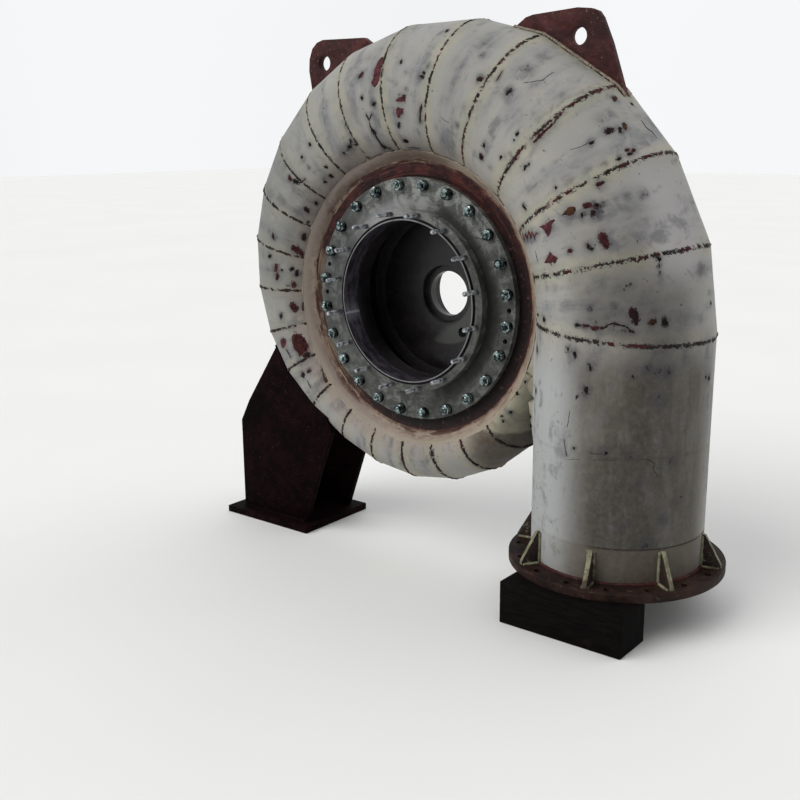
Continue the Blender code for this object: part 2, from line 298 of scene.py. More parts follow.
# %% [markdown]
# ## Where the filler changes tone
# No two places on the real shell have quite the same grey. It is creamy beside the seams,
# browned round the ring and browner on the outer right. Some steps paint light and shade:
# darker on the left, on the belly and down the pipe's right, paler on the pipe's left and
# the shell's outer edge, and darker under the tongue's end. Each step below is a mask from
# ramps on the position, and a colour mixed in by it. Ramps are soft, so no step shows an
# edge, and noise added before a ramp makes its border wander.
# %% Tones of the filler
def filler_tones(pen, where, noises, seam, edge):
    """The filler's colour before wear: greys, creams and browns that follow the place, and
    painted light and shade.
    """
    x, y, z, far, streak, on_pipe = where
    cloud, patch = noises
    # thin and thick filler
    grey = pen.mix(streak.ramp(0.42, 0.66), paint(150, 149, 145), paint(124, 125, 127))
    grey = pen.mix(patch.ramp(0.46, 0.66) * 0.55, grey, paint(158, 154, 146))
    # cream beside the seams
    wobble = seam + (patch - 0.5) * 0.060 + (cloud - 0.5) * 0.06
    band = wobble.ramp(0.050, 0.014) * (0.25 + 0.9 * cloud) * (1 - 0.7 * on_pipe)
    band = band * (1 - 0.4 * x.ramp(-0.10, -0.40))
    cream = pen.mix(patch.ramp(0.4, 0.6), paint(162, 156, 138), paint(144, 145, 129))
    grey = pen.mix(band, grey, cream)
    # brown and soiled next to the ring
    near_ring = (edge + (patch - 0.5) * 0.08).ramp(0.110, 0.005) * (1 - on_pipe)
    browned = 0.50 + 0.35 * x.ramp(0.0, -0.35) - 0.30 * x.ramp(0.22, 0.42)
    grey = pen.mix(near_ring * browned, grey, paint(138, 122, 112))
    soiled = near_ring * z.ramp(0.06, 0.24) * x.ramp(0.24, 0.04)
    grey = pen.mix(soiled * 0.62, grey, paint(60, 56, 54))
    # the strip of the tongue, with painted shade on its underside where it ends
    tongue = x.ramp(0.20, 0.30) * z.ramp(0.0, -0.06) * (1 - on_pipe)
    grey = pen.mix(tongue * 0.8, grey, pen.mix(patch.ramp(0.4, 0.6), paint(140, 136, 114),
                                               paint(118, 112, 92)))
    under = (z + (patch - 0.5) * 0.03).ramp(-0.385, -0.400) * tongue
    grey = pen.mix(under * 0.85, grey, paint(64, 52, 42))
    # painted shade and smudges on the small plates on the left, where the shell turns away
    left = (x + (patch - 0.5) * 0.3).ramp(-0.30, -0.62)
    grey = pen.mix(left * (0.60 - 0.36 * z.ramp(0.05, -0.15)), grey, paint(94, 96, 92))
    # browner on the outer right; brown stains down the pipe's front right, which also
    # paint the shade of its dark side
    warm = far.ramp(0.60, 0.74) * z.ramp(0.45, 0.20) * y.ramp(0.20, 0.02) * x.ramp(0.30, 0.50)
    grey = pen.mix(warm * 0.35, grey, paint(88, 82, 74))
    pipe_stain_and_shade = (x.ramp(0.58, 0.71) * y.ramp(0.22, 0.08) * z.ramp(-0.02, -0.16)
             * (streak * 0.9 + patch * 0.5).ramp(0.26, 0.62))
    grey = pen.mix(pipe_stain_and_shade * 0.95, grey, pen.mix(streak.ramp(0.42, 0.6), paint(76, 71, 63),
                                               paint(94, 90, 82)))
    # paler on the pipe's left, partly thick filler and partly painted light, and a painted
    # highlight along the shell's outer edge
    thick = x.ramp(0.75, 0.58) * z.ramp(-0.04, -0.20) * on_pipe
    grey = pen.mix(thick * 0.85, grey, paint(158, 161, 162))
    rim_light = (far.ramp(0.85, 0.91) * z.ramp(0.08, 0.20) * z.ramp(0.55, 0.36)
                 * x.ramp(0.55, 0.68))
    grey = pen.mix(rim_light * y.ramp(0.20, 0.05) * 0.8, grey, paint(172, 169, 170))
    # soot on the shell's shoulder, painted shade with soot on its belly,
    # and darker at the top
    shoulder = (far.ramp(0.64, 0.76) * z.ramp(0.16, 0.26) * y.ramp(0.20, 0.05)
                * x.ramp(0.40, 0.60))
    grey = pen.mix(shoulder * 0.07, grey, paint(62, 62, 64))
    swung = (x - 0.16 * z.ramp(0.03, -0.05) + 0.12 * z.ramp(-0.24, -0.42)
             - 0.06 * z.ramp(0.06, 0.15))
    belly_shade = (swung + (patch - 0.5) * 0.08).ramp(0.59, 0.74) * y.ramp(0.08, -0.05)
    grey = pen.mix(belly_shade * z.ramp(0.26, 0.06) * 0.50, grey, paint(24, 20, 14))
    above = z.ramp(0.30, 0.60) * x.ramp(0.45, 0.30)
    return pen.mix(above * 0.18, grey, paint(96, 98, 96))


# %% [markdown]
# ## Wear on the filler
# Sanding leaves soft smudges, pits and grime, and it rubs through to primer or scale. Three
# attributes on the mesh say where: soot, red stain and dark stain. They fade smoothly from
# point to point, so fine noise is added to each before its ramp, and that tears the edge.
# %% Wear of the filler
def filler_wear(pen, place, grey, streak, noises):
    """The smudges, pits and torn stains that lie over the filler's tones."""
    patch, fine, grain = noises
    soot, red_stain, dark_stain = (
        pen.attribute(label) for label in ("soot", "red_stain", "dark_stain"))
    # smudges everywhere, and dust in the fine grain
    smudge = (streak * 0.50 + place.noise(22.0, 4, 0.62, 0.6) * 0.55).ramp(0.545, 0.69)
    grey = pen.mix(smudge * 0.65, grey, paint(88, 88, 91))
    grey = pen.mix((fine - 0.40) * 0.30, grey, paint(172, 170, 162))
    # soot, with specks where it is dense
    torn = place.noise(34.0, 3, 0.6, 0.8)
    cover = (soot * 1.3 + (torn - 0.5) * 1.6 + (streak - 0.5) * 1.2).ramp(0.15, 1.25)
    cover = cover * soot.ramp(0.0, 0.30) * 0.50 + soot * 0.50
    grey = pen.mix(cover * (0.75 + 0.8 * fine), grey, paint(54, 52, 58))
    speck = pen.maths("MINIMUM", soot, 0.5) * 1.1 + (fine - 0.5) * 1.8
    speck = speck.ramp(0.58, 0.78) * soot.ramp(0.10, 0.35)
    grey = pen.mix(speck * 0.85, grey, paint(24, 19, 20))
    # pits
    pits = place.noise(80.0, 3, 0.6).ramp(0.675, 0.705) * patch.ramp(0.44, 0.58)
    grey = pen.mix(pits * 0.8, grey, paint(48, 43, 42))
    # primer and rust that show through, then scale
    speckle = place.noise(100.0, 4, 0.7)
    red = (red_stain + (fine - 0.5) * 1.2 + (grain - 0.5) * 0.7).ramp(0.52, 0.66)
    red = red * red_stain.ramp(0.10, 0.30)
    ochre = place.noise(11.0, 2, 0.5).ramp(0.58, 0.62)
    grey = pen.mix(red, grey, pen.mix(
        speckle.ramp(0.46, 0.60), pen.mix(ochre, paint(60, 24, 27), paint(70, 44, 24)),
        paint(28, 14, 16)))
    dark = (dark_stain + (speckle - 0.5) * 1.6 + (grain - 0.5) * 0.7).ramp(0.54, 0.70)
    dark = dark * dark_stain.ramp(0.10, 0.30)
    return pen.mix(dark * 0.95, grey, paint(22, 17, 17)), pits


# %% [markdown]
# ## The whole filler
# Last come the seams. The filler stops short of each weld, so a ragged dark line follows
# it, broken here and there where the knife slipped over. The weld beads further on read
# the same noise for their breaks, which keeps the line and the bead together.
# %% Filler recipe
def filler_recipe(pen, place):
    seam, edge = pen.attribute("seam_gap"), pen.attribute("ring_gap")
    streak, on_pipe, x, y, z = knife_strokes(pen, place)
    far = pen.maths("SQRT", x * x + z * z)
    cloud = place.noise(3.5, 3, 0.55)
    patch = place.noise(15.0, 4, 0.62, 0.5)
    fine = place.noise(60.0, 4, 0.7)
    grain = place.noise(230.0, 3, 0.65)
    grey = filler_tones(pen, (x, y, z, far, streak, on_pipe), (cloud, patch), seam, edge)
    grey, pits = filler_wear(pen, place, grey, streak, (patch, fine, grain))
    # bare plate and primer at the back
    behind = y.ramp(Y_MID - 0.02, Y_MID + 0.10)
    bare = place.noise(9.0, 5, 0.66, 1.0).ramp(0.665, 0.68) * behind
    primer = place.noise(14.0, 4, 0.6, 1.4).ramp(0.705, 0.715) * behind
    # the ragged line along each seam, fainter at the pipe's joint
    ragged = (0.44 + (grain - 0.5) * 1.5 + (fine - 0.5) * 1.3
              - seam * (78 - 30 * (x - z * 0.3).ramp(-0.05, 0.25)))
    line = ragged.ramp(0.12, 0.26) * seam.ramp(0.0145, 0.0110)
    joint = z.ramp(-0.075, -0.11) * on_pipe
    broken = place.noise(17.0, 3, 0.6).ramp(0.36, 0.48) * (1 - 0.9 * joint)
    gap = place.noise(GAP_SCALE, 1, 0.5).ramp(0.57, 0.63)
    line = line * (broken * 0.85 + 0.15 * (1 - joint)) * (1 - 0.85 * gap)
    colour = pen.mix(bare, grey, paint(48, 44, 44))
    colour = pen.mix(primer, colour, paint(72, 31, 30))
    colour = pen.mix(line, colour, pen.mix(cloud.ramp(0.49, 0.55), paint(21, 16, 12),
                                           paint(46, 18, 19)))
    # the thin joint above the flange, and the browner length below it
    neck = seam.ramp(0.0035, 0.0020) * z.ramp(-0.55, -0.60) * x.ramp(0.70, 0.78)
    colour = pen.mix(neck * fine.ramp(0.36, 0.46), colour, paint(26, 20, 18))
    low_end = z.ramp(Z_NECK + 0.004, Z_NECK - 0.004) * on_pipe * x.ramp(0.50, 0.74)
    colour = pen.mix(low_end * (0.08 + 0.6 * patch), colour, paint(94, 82, 70))
    roughness = 0.58 + 0.26 * fine
    height = (cloud * 1.2 + patch * 0.7 + fine * 0.25 - (bare + primer) * 0.3 - line * 0.5
              - pits * 0.3)
    return colour, roughness, height


filler = finish("sanded_filler", filler_recipe, bump_depth=0.0022, gloss=0.35)


# %% [markdown]
# ## Rolled plates by Geometry Nodes
# Each plate of the shell is straight between two seam planes, and every section follows the
# same law: its radius grows with the square root of the angle left to run. A rule like this
# is what Geometry Nodes are good at. A flat grid goes in, and each grid point is moved to
# its place by the law. The same tree makes all the plates, with two seam angles as inputs.
# %% Tree for a rolled plate
def new_tree(name, inputs):
    """A geometry tree with named inputs, a start wire for each, and their identifiers."""
    tree = bpy.data.node_groups.new(name, "GeometryNodeTree")
    keys = {}
    tree.interface.new_socket("Geometry", in_out="INPUT", socket_type="NodeSocketGeometry")
    for label, kind, default in inputs:
        socket = tree.interface.new_socket(label, in_out="INPUT", socket_type=kind)
        if default is not None:
            socket.default_value = default
        keys[label] = socket.identifier
    tree.interface.new_socket("Geometry", in_out="OUTPUT", socket_type="NodeSocketGeometry")
    pen = Wire(tree)
    entry = pen.node("NodeGroupInput").socket.node
    wires = {output.name: Wire(tree, output) for output in entry.outputs if output.name}
    return tree, pen, wires, keys


def seeded_noise(pen, seed, scale, detail):
    """Noise at each point of a shape, different for each seed."""
    return pen.node("ShaderNodeTexNoise", {"noise_dimensions": "4D"}, {
        "Vector": pen.node("GeometryNodeInputPosition"), "W": seed, "Scale": scale,
        "Detail": detail})


def push_out(pen, shape, amount):
    """Moves each point of a shape along its normal."""
    return pen.node("GeometryNodeSetPosition", None, {
        "Geometry": shape, "Offset": pen.node("ShaderNodeVectorMath", {"operation": "SCALE"}, {
            0: pen.node("GeometryNodeInputNormal"), "Scale": amount})})


def close_tree(pen, shape, material):
    """Ends a tree with real geometry and the material that was asked for."""
    shape = pen.node("GeometryNodeRealizeInstances", None, {0: shape})
    shape = pen.node("GeometryNodeSetMaterial", None, {"Geometry": shape, "Material": material})
    pen.node("NodeGroupOutput", None, {0: shape})


FLOAT, COUNT, THING, FINISH = ("NodeSocketFloat", "NodeSocketInt", "NodeSocketObject",
                               "NodeSocketMaterial")
plate_tree, pen, given, plate_keys = new_tree("rolled_plate", (
    ("From angle", FLOAT, SEAMS[0]), ("To angle", FLOAT, SEAMS[1]),
    ("Inlet radius", FLOAT, RHO_INLET), ("Half width", FLOAT, HALF_WIDTH),
    ("Ring radius", FLOAT, R_SCROLL),
    ("Rows", COUNT, 8), ("Columns", COUNT, 60), ("Waviness", FLOAT, 0.0012),
    ("Seed", FLOAT, 4.0), ("Finish", FINISH, None)))
grid = pen.node("GeometryNodeMeshGrid", None, {
    "Size X": 1.0, "Size Y": 1.0, "Vertices X": given["Rows"], "Vertices Y": given["Columns"]})
u, v, _ = pen.node("GeometryNodeInputPosition").parts()
u = u + 0.5
ends = []
for angle in (given["From angle"], given["To angle"]):
    rho = given["Inlet radius"] * pen.maths("SQRT", (angle - THETA_INLET + WRAP) / WRAP)
    across = pen.maths("MAXIMUM", rho, 1.03 * given["Half width"])
    share = given["Half width"] / across
    centre = given["Ring radius"] + rho * pen.maths("SQRT", 1 - share * share)
    start = math.pi - (pen.maths("ARCSINE", share) - PLATE / rho)
    t = v * 2 * start
    radius = centre + rho * pen.maths("COSINE", t)
    turn = angle * (math.pi / 180)
    ends.append((radius * pen.maths("SINE", turn), Y_MID + across * pen.maths("SINE", t),
                 radius * pen.maths("COSINE", turn), (0.5 - pen.maths("ABSOLUTE", v)) * 2
                 * start * rho))
x, y, z, edge = (first + (second - first) * u for first, second in zip(*ends))
spans = [second - first for first, second in zip(*ends)][:3]
length = pen.maths("SQRT", spans[0] * spans[0] + spans[1] * spans[1] + spans[2] * spans[2])
seam = pen.maths("MINIMUM", u, 1 - u) * length
out = pen.maths("SQRT", x * x + z * z)
keep = pen.maths("MAXIMUM", out, given["Ring radius"] + CLEARANCE) / out
spot = pen.node("ShaderNodeCombineXYZ", None, {0: x * keep + AXIS.x, 1: y + AXIS.y,
                                               2: z * keep + AXIS.z})
shape = grid
for label, value in (("seam_gap", seam), ("ring_gap", edge)):
    shape = pen.node("GeometryNodeStoreNamedAttribute", {"data_type": "FLOAT"}, {
        "Geometry": shape, "Name": label, "Value": value})
shape = pen.node("GeometryNodeSetPosition", None, {"Geometry": shape, "Position": spot})
ripple = seeded_noise(pen, given["Seed"], 9.0, 2.0)
named = pen.node("GeometryNodeInputNamedAttribute", {"data_type": "FLOAT"},
                 {"Name": "seam_gap"})
ripple = (ripple - 0.5) * 2 * given["Waviness"] * named.ramp(0.0, 0.03)
close_tree(pen, push_out(pen, shape, ripple), given["Finish"])
print("rolled plate tree:", len(plate_tree.nodes), "nodes")


# %% [markdown]
# ## Small tools for meshes
# Every piece goes through the same few steps: a skin gets its wall, a cutter opens it, and
# its faces are smoothed up to a chosen angle. Each step ends in a plain mesh with no
# modifier left, so the next one starts from real points.
# %% Helpers for meshes
PIECES = bpy.data.collections.new("dressed_casing")
bpy.context.scene.collection.children.link(PIECES)


def add_piece(name, mesh, material=None):
    """An object for a mesh, at the origin, with one material."""
    piece = bpy.data.objects.new(name, mesh)
    PIECES.objects.link(piece)
    if material:
        mesh.materials.clear()
        mesh.materials.append(material)
    return piece


def stand_for(piece, *nodes):
    """Shows a piece in place of CAD nodes, moving with the same body."""
    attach(piece, "root")
    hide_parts(*nodes)


def settle(piece):
    """Replaces an object's mesh by its evaluated one and removes its modifiers."""
    bpy.context.view_layer.update()
    graph = bpy.context.evaluated_depsgraph_get()
    mesh = bpy.data.meshes.new_from_object(piece.evaluated_get(graph))
    mesh.name = piece.name
    piece.modifiers.clear()
    piece.data = mesh
    return piece


def smooth(mesh, sharp):
    """Smooth shading, but for edges sharper than an angle in degrees."""
    for polygon in mesh.polygons:
        polygon.use_smooth = True
    mesh.set_sharp_from_angle(angle=math.radians(sharp))


def tidy(mesh, merge=0.00001, sharp=32.0):
    """Merges doubles, turns faces outwards and smooths all but sharp edges."""
    work = bmesh.new()
    work.from_mesh(mesh)
    bmesh.ops.remove_doubles(work, verts=work.verts, dist=merge)
    bmesh.ops.recalc_face_normals(work, faces=work.faces)
    work.to_mesh(mesh)
    work.free()
    smooth(mesh, sharp)
    return mesh


def grow(name, tree, keys, values, carrier=None):
    """Runs a geometry tree on an object and returns the plain result."""
    piece = add_piece(name, carrier or bpy.data.meshes.new(name))
    modifier = piece.modifiers.new("grow", "NODES")
    modifier.node_group = tree
    for label, value in values.items():
        modifier[keys[label]] = value
    return settle(piece)


def wall(piece, thickness):
    """Gives a skin its plate thickness, inwards."""
    solid = piece.modifiers.new("wall", "SOLIDIFY")
    solid.thickness = thickness
    solid.offset = -1.0
    return settle(piece)


def cut_by(piece, cutter):
    """Cuts a piece with another mesh and throws the cutter away."""
    modifier = piece.modifiers.new("cut", "BOOLEAN")
    modifier.operation = "DIFFERENCE"
    modifier.solver = "EXACT"
    modifier.object = cutter
    settle(piece)
    bpy.data.objects.remove(cutter, do_unlink=True)


print("helpers ready, pieces go to:", PIECES.name)

# %% [markdown]
# ## Rolling the plates
# Now the tree runs once for each pair of seams. A grid square is about 8 mm wide, fine
# enough for the stains that the mesh will carry. The wall is added inwards, so the outer
# skin stays where the solids have it.
# %% Roll the plates
SQUARE = 0.008
WRAP_RADII = 5.0
SMOOTH_ANGLE = 40
plates = []
for number, (first, last) in enumerate(zip(SEAMS, SEAMS[1:]), start=1):
    node = "scroll_nose" if number == len(SEAMS) - 1 else f"scroll_plate_{number:02d}"
    rho, _, centre = section(first)
    rows = max(4, round(math.radians(first - last) * (centre + rho) / SQUARE))
    columns = max(24, round(rho * WRAP_RADII / SQUARE))
    plate = grow("rolled_" + node, plate_tree, plate_keys, {
        "From angle": first, "To angle": last, "Rows": rows, "Columns": columns,
        "Finish": filler})
    mesh = plate.data
    middle = polar((first + last) / 2, centre, Y_MID)
    outward = sum((p.center - middle).dot(p.normal) * p.area for p in mesh.polygons)
    if outward < 0:
        mesh.flip_normals()
    wall(plate, PLATE)
    smooth(plate.data, SMOOTH_ANGLE)
    stand_for(plate, node)
    plates.append(plate)
print("rolled", len(plates), "plates,", sum(len(p.data.polygons) for p in plates), "faces")

# %% [markdown]
# ## Turned parts
# The stay ring, covers, pipe and flange are round, so each is one closed profile swept
# about an axis. Real machined corners are never knife sharp. Every corner of a profile is
# cut by a millimetre or so first, and that thin chamfer is what catches the light.
# %% Sweep a profile
NEARLY_STRAIGHT = 0.3


def soften(profile, size):
    """Cuts each corner of a closed profile by up to this size."""
    soft = []
    count = len(profile)
    for i in range(count):
        here = Vector(profile[i])
        back = Vector(profile[i - 1]) - here
        ahead = Vector(profile[(i + 1) % count]) - here
        if abs(back.angle(ahead) - math.pi) < NEARLY_STRAIGHT:
            soft.append(tuple(here))
            continue
        for side in (back, ahead):
            soft.append(tuple(here + side.normalized() * min(size, side.length * 0.3)))
    return soft


def sweep(name, profile, material, steps, upright=None):
    """A ring from a closed profile of radius and height, about Y or an upright axis."""
    points, faces = [], []
    count = len(profile)
    for i in range(steps):
        angle = 2 * math.pi * i / steps
        for radius, height in profile:
            if upright is None:
                points.append(at(radius * math.sin(angle), height, radius * math.cos(angle)))
            else:
                points.append(at(upright[0] + radius * math.cos(angle),
                                 upright[1] + radius * math.sin(angle), height))
        for j in range(count):
            k, n = (j + 1) % count, (i + 1) % steps
            faces.append((i * count + j, n * count + j, n * count + k, i * count + k))
    mesh = bpy.data.meshes.new(name)
    mesh.from_pydata(points, [], faces)
    return add_piece(name, tidy(mesh), material)


def rods(name, places, low, high, along="Y", steps=32):
    """Round cutters: places holds two coordinates in the turbine's frame and a radius."""
    work = bmesh.new()
    for a, b, radius in places:
        if along == "Y":
            move = Matrix.Translation(at(a, (low + high) / 2, b))
            turn = Matrix.Rotation(math.radians(90), 4, "X")
        else:
            move = Matrix.Translation(at(a, b, (low + high) / 2))
            turn = Matrix.Identity(4)
        bmesh.ops.create_cone(work, cap_ends=True, segments=steps, radius1=radius,
                              radius2=radius, depth=high - low, matrix=move @ turn)
    mesh = bpy.data.meshes.new(name)
    work.to_mesh(mesh)
    work.free()
    return add_piece(name, mesh)


def measure(piece, seams=()):
    """Stores the distances that the filler recipe reads, from planes across the piece."""
    points = np.array([vertex.co for vertex in piece.data.vertices])
    far = np.full(len(points), 1.0)
    gap = far
    for origin, normal in seams:
        gap = np.minimum(gap, np.abs((points - np.array(origin)) @ np.array(normal)))
    for label, values in (("seam_gap", gap), ("ring_gap", far)):
        made = piece.data.attributes.new(label, "FLOAT", "POINT")
        made.data.foreach_set("value", values.astype(np.float32))


# %% [markdown]
# ## The stay ring
# Two heavy rings stand either side of the water passage, joined by short curved vanes. The
# flat face round the cover is red primer. The cone outside it is a wide weld, ground and
# buttered with filler, so colour here depends mostly on the distance from the axis.
# %% Stay ring finish
def from_axis(pen, place):
    """Distance from the turbine's axis."""
    x, _, z = place.parts()
    x, z = x - AXIS.x, z - AXIS.z
    return pen.maths("SQRT", x * x + z * z)


def round_strokes(pen, place, along, across):
    """Noise drawn out round the turbine's axis, like marks of a brush or a lathe."""
    x, y, z = place.parts()
    angle = pen.maths("ARCTAN2", x - AXIS.x, z - AXIS.z)
    spot = pen.node("ShaderNodeCombineXYZ", None, {
        0: pen.maths("COSINE", angle) * along, 1: pen.maths("SINE", angle) * along,
        2: from_axis(pen, place) * across + y * across * 0.6})
    return spot.noise(1.0, 4, 0.65)


def ring_recipe(pen, place):
    out = from_axis(pen, place)
    x, y, z = place.parts()
    x, y, z = x - AXIS.x, y - AXIS.y, z - AXIS.z
    cloud = place.noise(5.0, 4, 0.6)
    patch = place.noise(19.0, 5, 0.68, 0.8)
    fine = place.noise(75.0, 4, 0.65)
    drawn = round_strokes(pen, place, 3.5, 120.0)
    # red primer on the flat face, darker to the right: dark primer there, and painted
    # shadow of the proud cover, deepest at the inner edge
    side = (x - z * 0.9 + (cloud - 0.5) * 0.5).ramp(0.0, 0.32)
    red = pen.mix(patch.ramp(0.40, 0.62), paint(72, 31, 29), paint(40, 18, 18))
    red = pen.mix(side * (0.95 - 0.45 * out.ramp(0.424, 0.440)), red, paint(11, 5, 5))
    red = pen.mix(drawn.ramp(0.50, 0.58) * 0.85, red, paint(24, 12, 12))
    red = pen.mix(drawn.ramp(0.43, 0.37) * (1 - side) * 0.35, red, paint(108, 66, 58))
    red = pen.mix(fine.ramp(0.58, 0.70) * 0.4, red, paint(120, 80, 68))
    # filler that was drawn over the primer on the left
    lapped = (z + (cloud - 0.5) * 0.10).ramp(0.18, 0.10) * x.ramp(-0.20, -0.32)
    buttered = pen.mix((drawn * 0.6 + patch * 0.4).ramp(0.46, 0.54), paint(108, 94, 78),
                       paint(56, 38, 31))
    red = pen.mix(lapped * 0.85, red, buttered)
    tan = pen.mix(patch.ramp(0.42, 0.60), paint(136, 118, 102), paint(86, 62, 52))
    worn = pen.mix(drawn.ramp(0.46, 0.54), tan, paint(62, 31, 27))
    # where the face ends and the cone begins
    swing = (patch - 0.5) * 0.022 + (fine - 0.5) * 0.006 + (drawn - 0.5) * 0.010
    line = (out + swing * 0.3).ramp(0.4400, 0.4445)
    cone = (out + swing).ramp(0.4470, 0.4530)
    # the cone, pale with filler, and painted shade at the top left under the plates' ends
    pale = pen.mix(patch.ramp(0.38, 0.62), paint(152, 138, 124), paint(130, 115, 102))
    pale = pen.mix(place.noise(40.0, 4, 0.7, 1.2).ramp(0.60, 0.68) * 0.6, pale,
                   paint(84, 58, 49))
    # painted shade on the cone under the ends of the top plates
    over = (z + (cloud - 0.5) * 0.3).ramp(0.06, 0.34) * x.ramp(0.22, 0.04)
    pale = pen.mix(over * 0.74, pale, paint(78, 64, 57))
    low_left = x.ramp(-0.12, -0.26) * z.ramp(-0.10, -0.26) * out.ramp(0.476, 0.462)
    pale = pen.mix(low_left * 0.30, pale, paint(70, 44, 38))
    lap = (out + (patch - 0.5) * 0.050 + (cloud - 0.5) * 0.03).ramp(0.454, 0.474)
    pale = pen.mix(lap * x.ramp(-0.02, -0.22) * 0.75, pale, paint(146, 132, 128))
    edge = (out + swing).ramp(0.4640, 0.4520)
    pale = pen.mix(drawn.ramp(0.50, 0.57) * edge * 0.9, pale, paint(66, 38, 31))
    pale = pen.mix(drawn.ramp(0.55, 0.62) * 0.4, pale, paint(84, 58, 48))
    cream = (out + swing * 0.7).ramp(0.466, 0.478) * (1 - over * 0.7)
    pale = pen.mix(cream * 0.7, pale, paint(156, 148, 133))
    # all together, with the dark joint outside and painted shade on the passage inside
    colour = pen.mix(line, red, worn)
    colour = pen.mix(cone, colour, pale)
    dark = (out + swing * 0.4).ramp(0.4795, 0.4815) * patch.ramp(0.44, 0.52)
    dark = dark * (x + z * 0.8).ramp(0.05, 0.25)
    colour = pen.mix(dark * 0.9, colour, paint(40, 29, 25))
    inside = y.ramp(0.028, 0.050) * y.ramp(0.250, 0.228)
    colour = pen.mix(inside, colour, pen.mix(patch.ramp(0.4, 0.6), paint(34, 22, 22),
                                             paint(20, 15, 16)))
    roughness = 0.40 + 0.34 * patch
    return colour, roughness, patch * 0.8 + fine * 0.35 + cloud * 0.5 + drawn * 0.4


ring_finish = finish("primed_stay_ring", ring_recipe, bump_depth=0.0020, gloss=0.22)

# %% [markdown]
# ## The two rings
# One profile serves both. It runs from the cover's seat over the cone to the rim, where the
# shell begins, and back inside to the water passage. The back ring is its mirror image
# about the middle plane, drawn from mirrored points, so no face is turned inside out.
# %% Front and back ring
FRONT = Y_MID - 0.041
EASED = 0.0015
ROUND_STEPS = 256
rim = Y_MID - HALF_WIDTH
ring_profile = [(0.300, 0.0253), (0.446, 0.0253), (0.463, 0.0085), (0.4822, rim),
                (0.4822, 0.040), (0.460, 0.080), (0.425, FRONT), (0.300, FRONT)]
ring = sweep("ring_pair", soften(ring_profile, EASED), ring_finish, ROUND_STEPS)
back = sweep("ring_back", soften([(r, 2 * Y_MID - y) for r, y in ring_profile], EASED),
             ring_finish, ROUND_STEPS)
print("rings:", len(ring.data.polygons) + len(back.data.polygons), "faces")


# %% [markdown]
# ## Parts that stand in a circle
# Vanes, nuts and studs each stand in a ring at one spacing. One tree does all three: it
# makes a point for each, turns it about the turbine's axis and puts a copy of the part
# there. A seed gives every copy a small twist of its own, as hand-tightened nuts have.
# %% Tree for a circle of parts
BOLTS, FIRST_BOLT, BOLT_CIRCLE = 24, 7.5, 0.375
circle_tree, pen, given, circle_keys = new_tree("circle_of_parts", (
    ("Part", THING, None), ("Count", COUNT, BOLTS), ("First angle", FLOAT, FIRST_BOLT),
    ("Radius", FLOAT, BOLT_CIRCLE), ("Depth", FLOAT, 0.0), ("Twist", FLOAT, 1.0),
    ("Seed", COUNT, 3), ("Finish", FINISH, None)))
line = pen.node("GeometryNodeMeshLine", None, {"Count": given["Count"]})
step = (2 * math.pi) / given["Count"]
turn = pen.node("GeometryNodeInputIndex") * step + given["First angle"] * (math.pi / 180)
spot = pen.node("ShaderNodeCombineXYZ", None, {
    0: given["Radius"] * pen.maths("SINE", turn) + AXIS.x, 1: given["Depth"] + AXIS.y,
    2: given["Radius"] * pen.maths("COSINE", turn) + AXIS.z})
line = pen.node("GeometryNodeSetPosition", None, {"Geometry": line, "Position": spot})
twist = pen.node("FunctionNodeRandomValue", {"data_type": "FLOAT"},
                 {"Seed": given["Seed"]}, 1)
angle = pen.node("ShaderNodeCombineXYZ", None, {1: turn + (twist - 0.5) * 2 * given["Twist"]})
part = pen.node("GeometryNodeObjectInfo", None, {"Object": given["Part"]}, "Geometry")
copies = pen.node("GeometryNodeInstanceOnPoints", None, {
    "Points": line, "Instance": part, "Rotation": angle})
close_tree(pen, copies, given["Finish"])


def circle_of(name, part, count, first, radius, depth, material, twist=0.0, seed=3):
    """Stands copies of a part in a circle and throws the part itself away."""
    made = grow(name, circle_tree, circle_keys, {
        "Part": part, "Count": count, "First angle": first, "Radius": radius, "Depth": depth,
        "Twist": twist, "Seed": seed, "Finish": material})
    bpy.data.objects.remove(part, do_unlink=True)
    print(name, len(made.data.polygons), "faces")
    return made


print("circle tree:", len(circle_tree.nodes), "nodes")

# %% [markdown]
# ## Stay vanes
# The vanes tie ring to ring and turn the flow a little. Each has a lens section, blunt in
# front and thin behind, and leans with the flow. The square root of a sine gives such a
# section with a round nose, so no curve has to be drawn by hand.
# %% Stay vanes
def vane_part():
    """One vane along Y, drawn at the origin with its chord leaning to the flow."""
    length, thick, steps, lean_angle, into_ring = 0.075, 0.016, 12, 38.0, 0.01
    outline = []
    for i in range(2 * steps):
        share = i / steps if i <= steps else 2 - i / steps
        side = 1 if i <= steps else -1
        half = thick / 2 * math.sqrt(max(0.0, math.sin(math.pi * share ** 0.75)))
        outline.append(Vector((length * (0.5 - share), 0.0, side * half)))
    lean = Matrix.Rotation(math.radians(lean_angle - 90.0), 3, "Y")
    points = [lean @ p + Vector((0, y, 0))
              for y in (FRONT - into_ring, 2 * Y_MID - FRONT + into_ring) for p in outline]
    count = len(outline)
    faces = [(i, (i + 1) % count, count + (i + 1) % count, count + i) for i in range(count)]
    faces += [tuple(range(count)), tuple(range(2 * count - 1, count - 1, -1))]
    mesh = bpy.data.meshes.new("vane")
    mesh.from_pydata(points, [], faces)
    return add_piece("vane", tidy(mesh))


VANES, FIRST_VANE, VANE_CIRCLE = 10, 108.0, 0.385
vanes = circle_of("stay_vanes", vane_part(), VANES, FIRST_VANE, VANE_CIRCLE, 0.0, ring_finish)
for piece in (ring, back, vanes):
    stand_for(piece, "stay_ring")

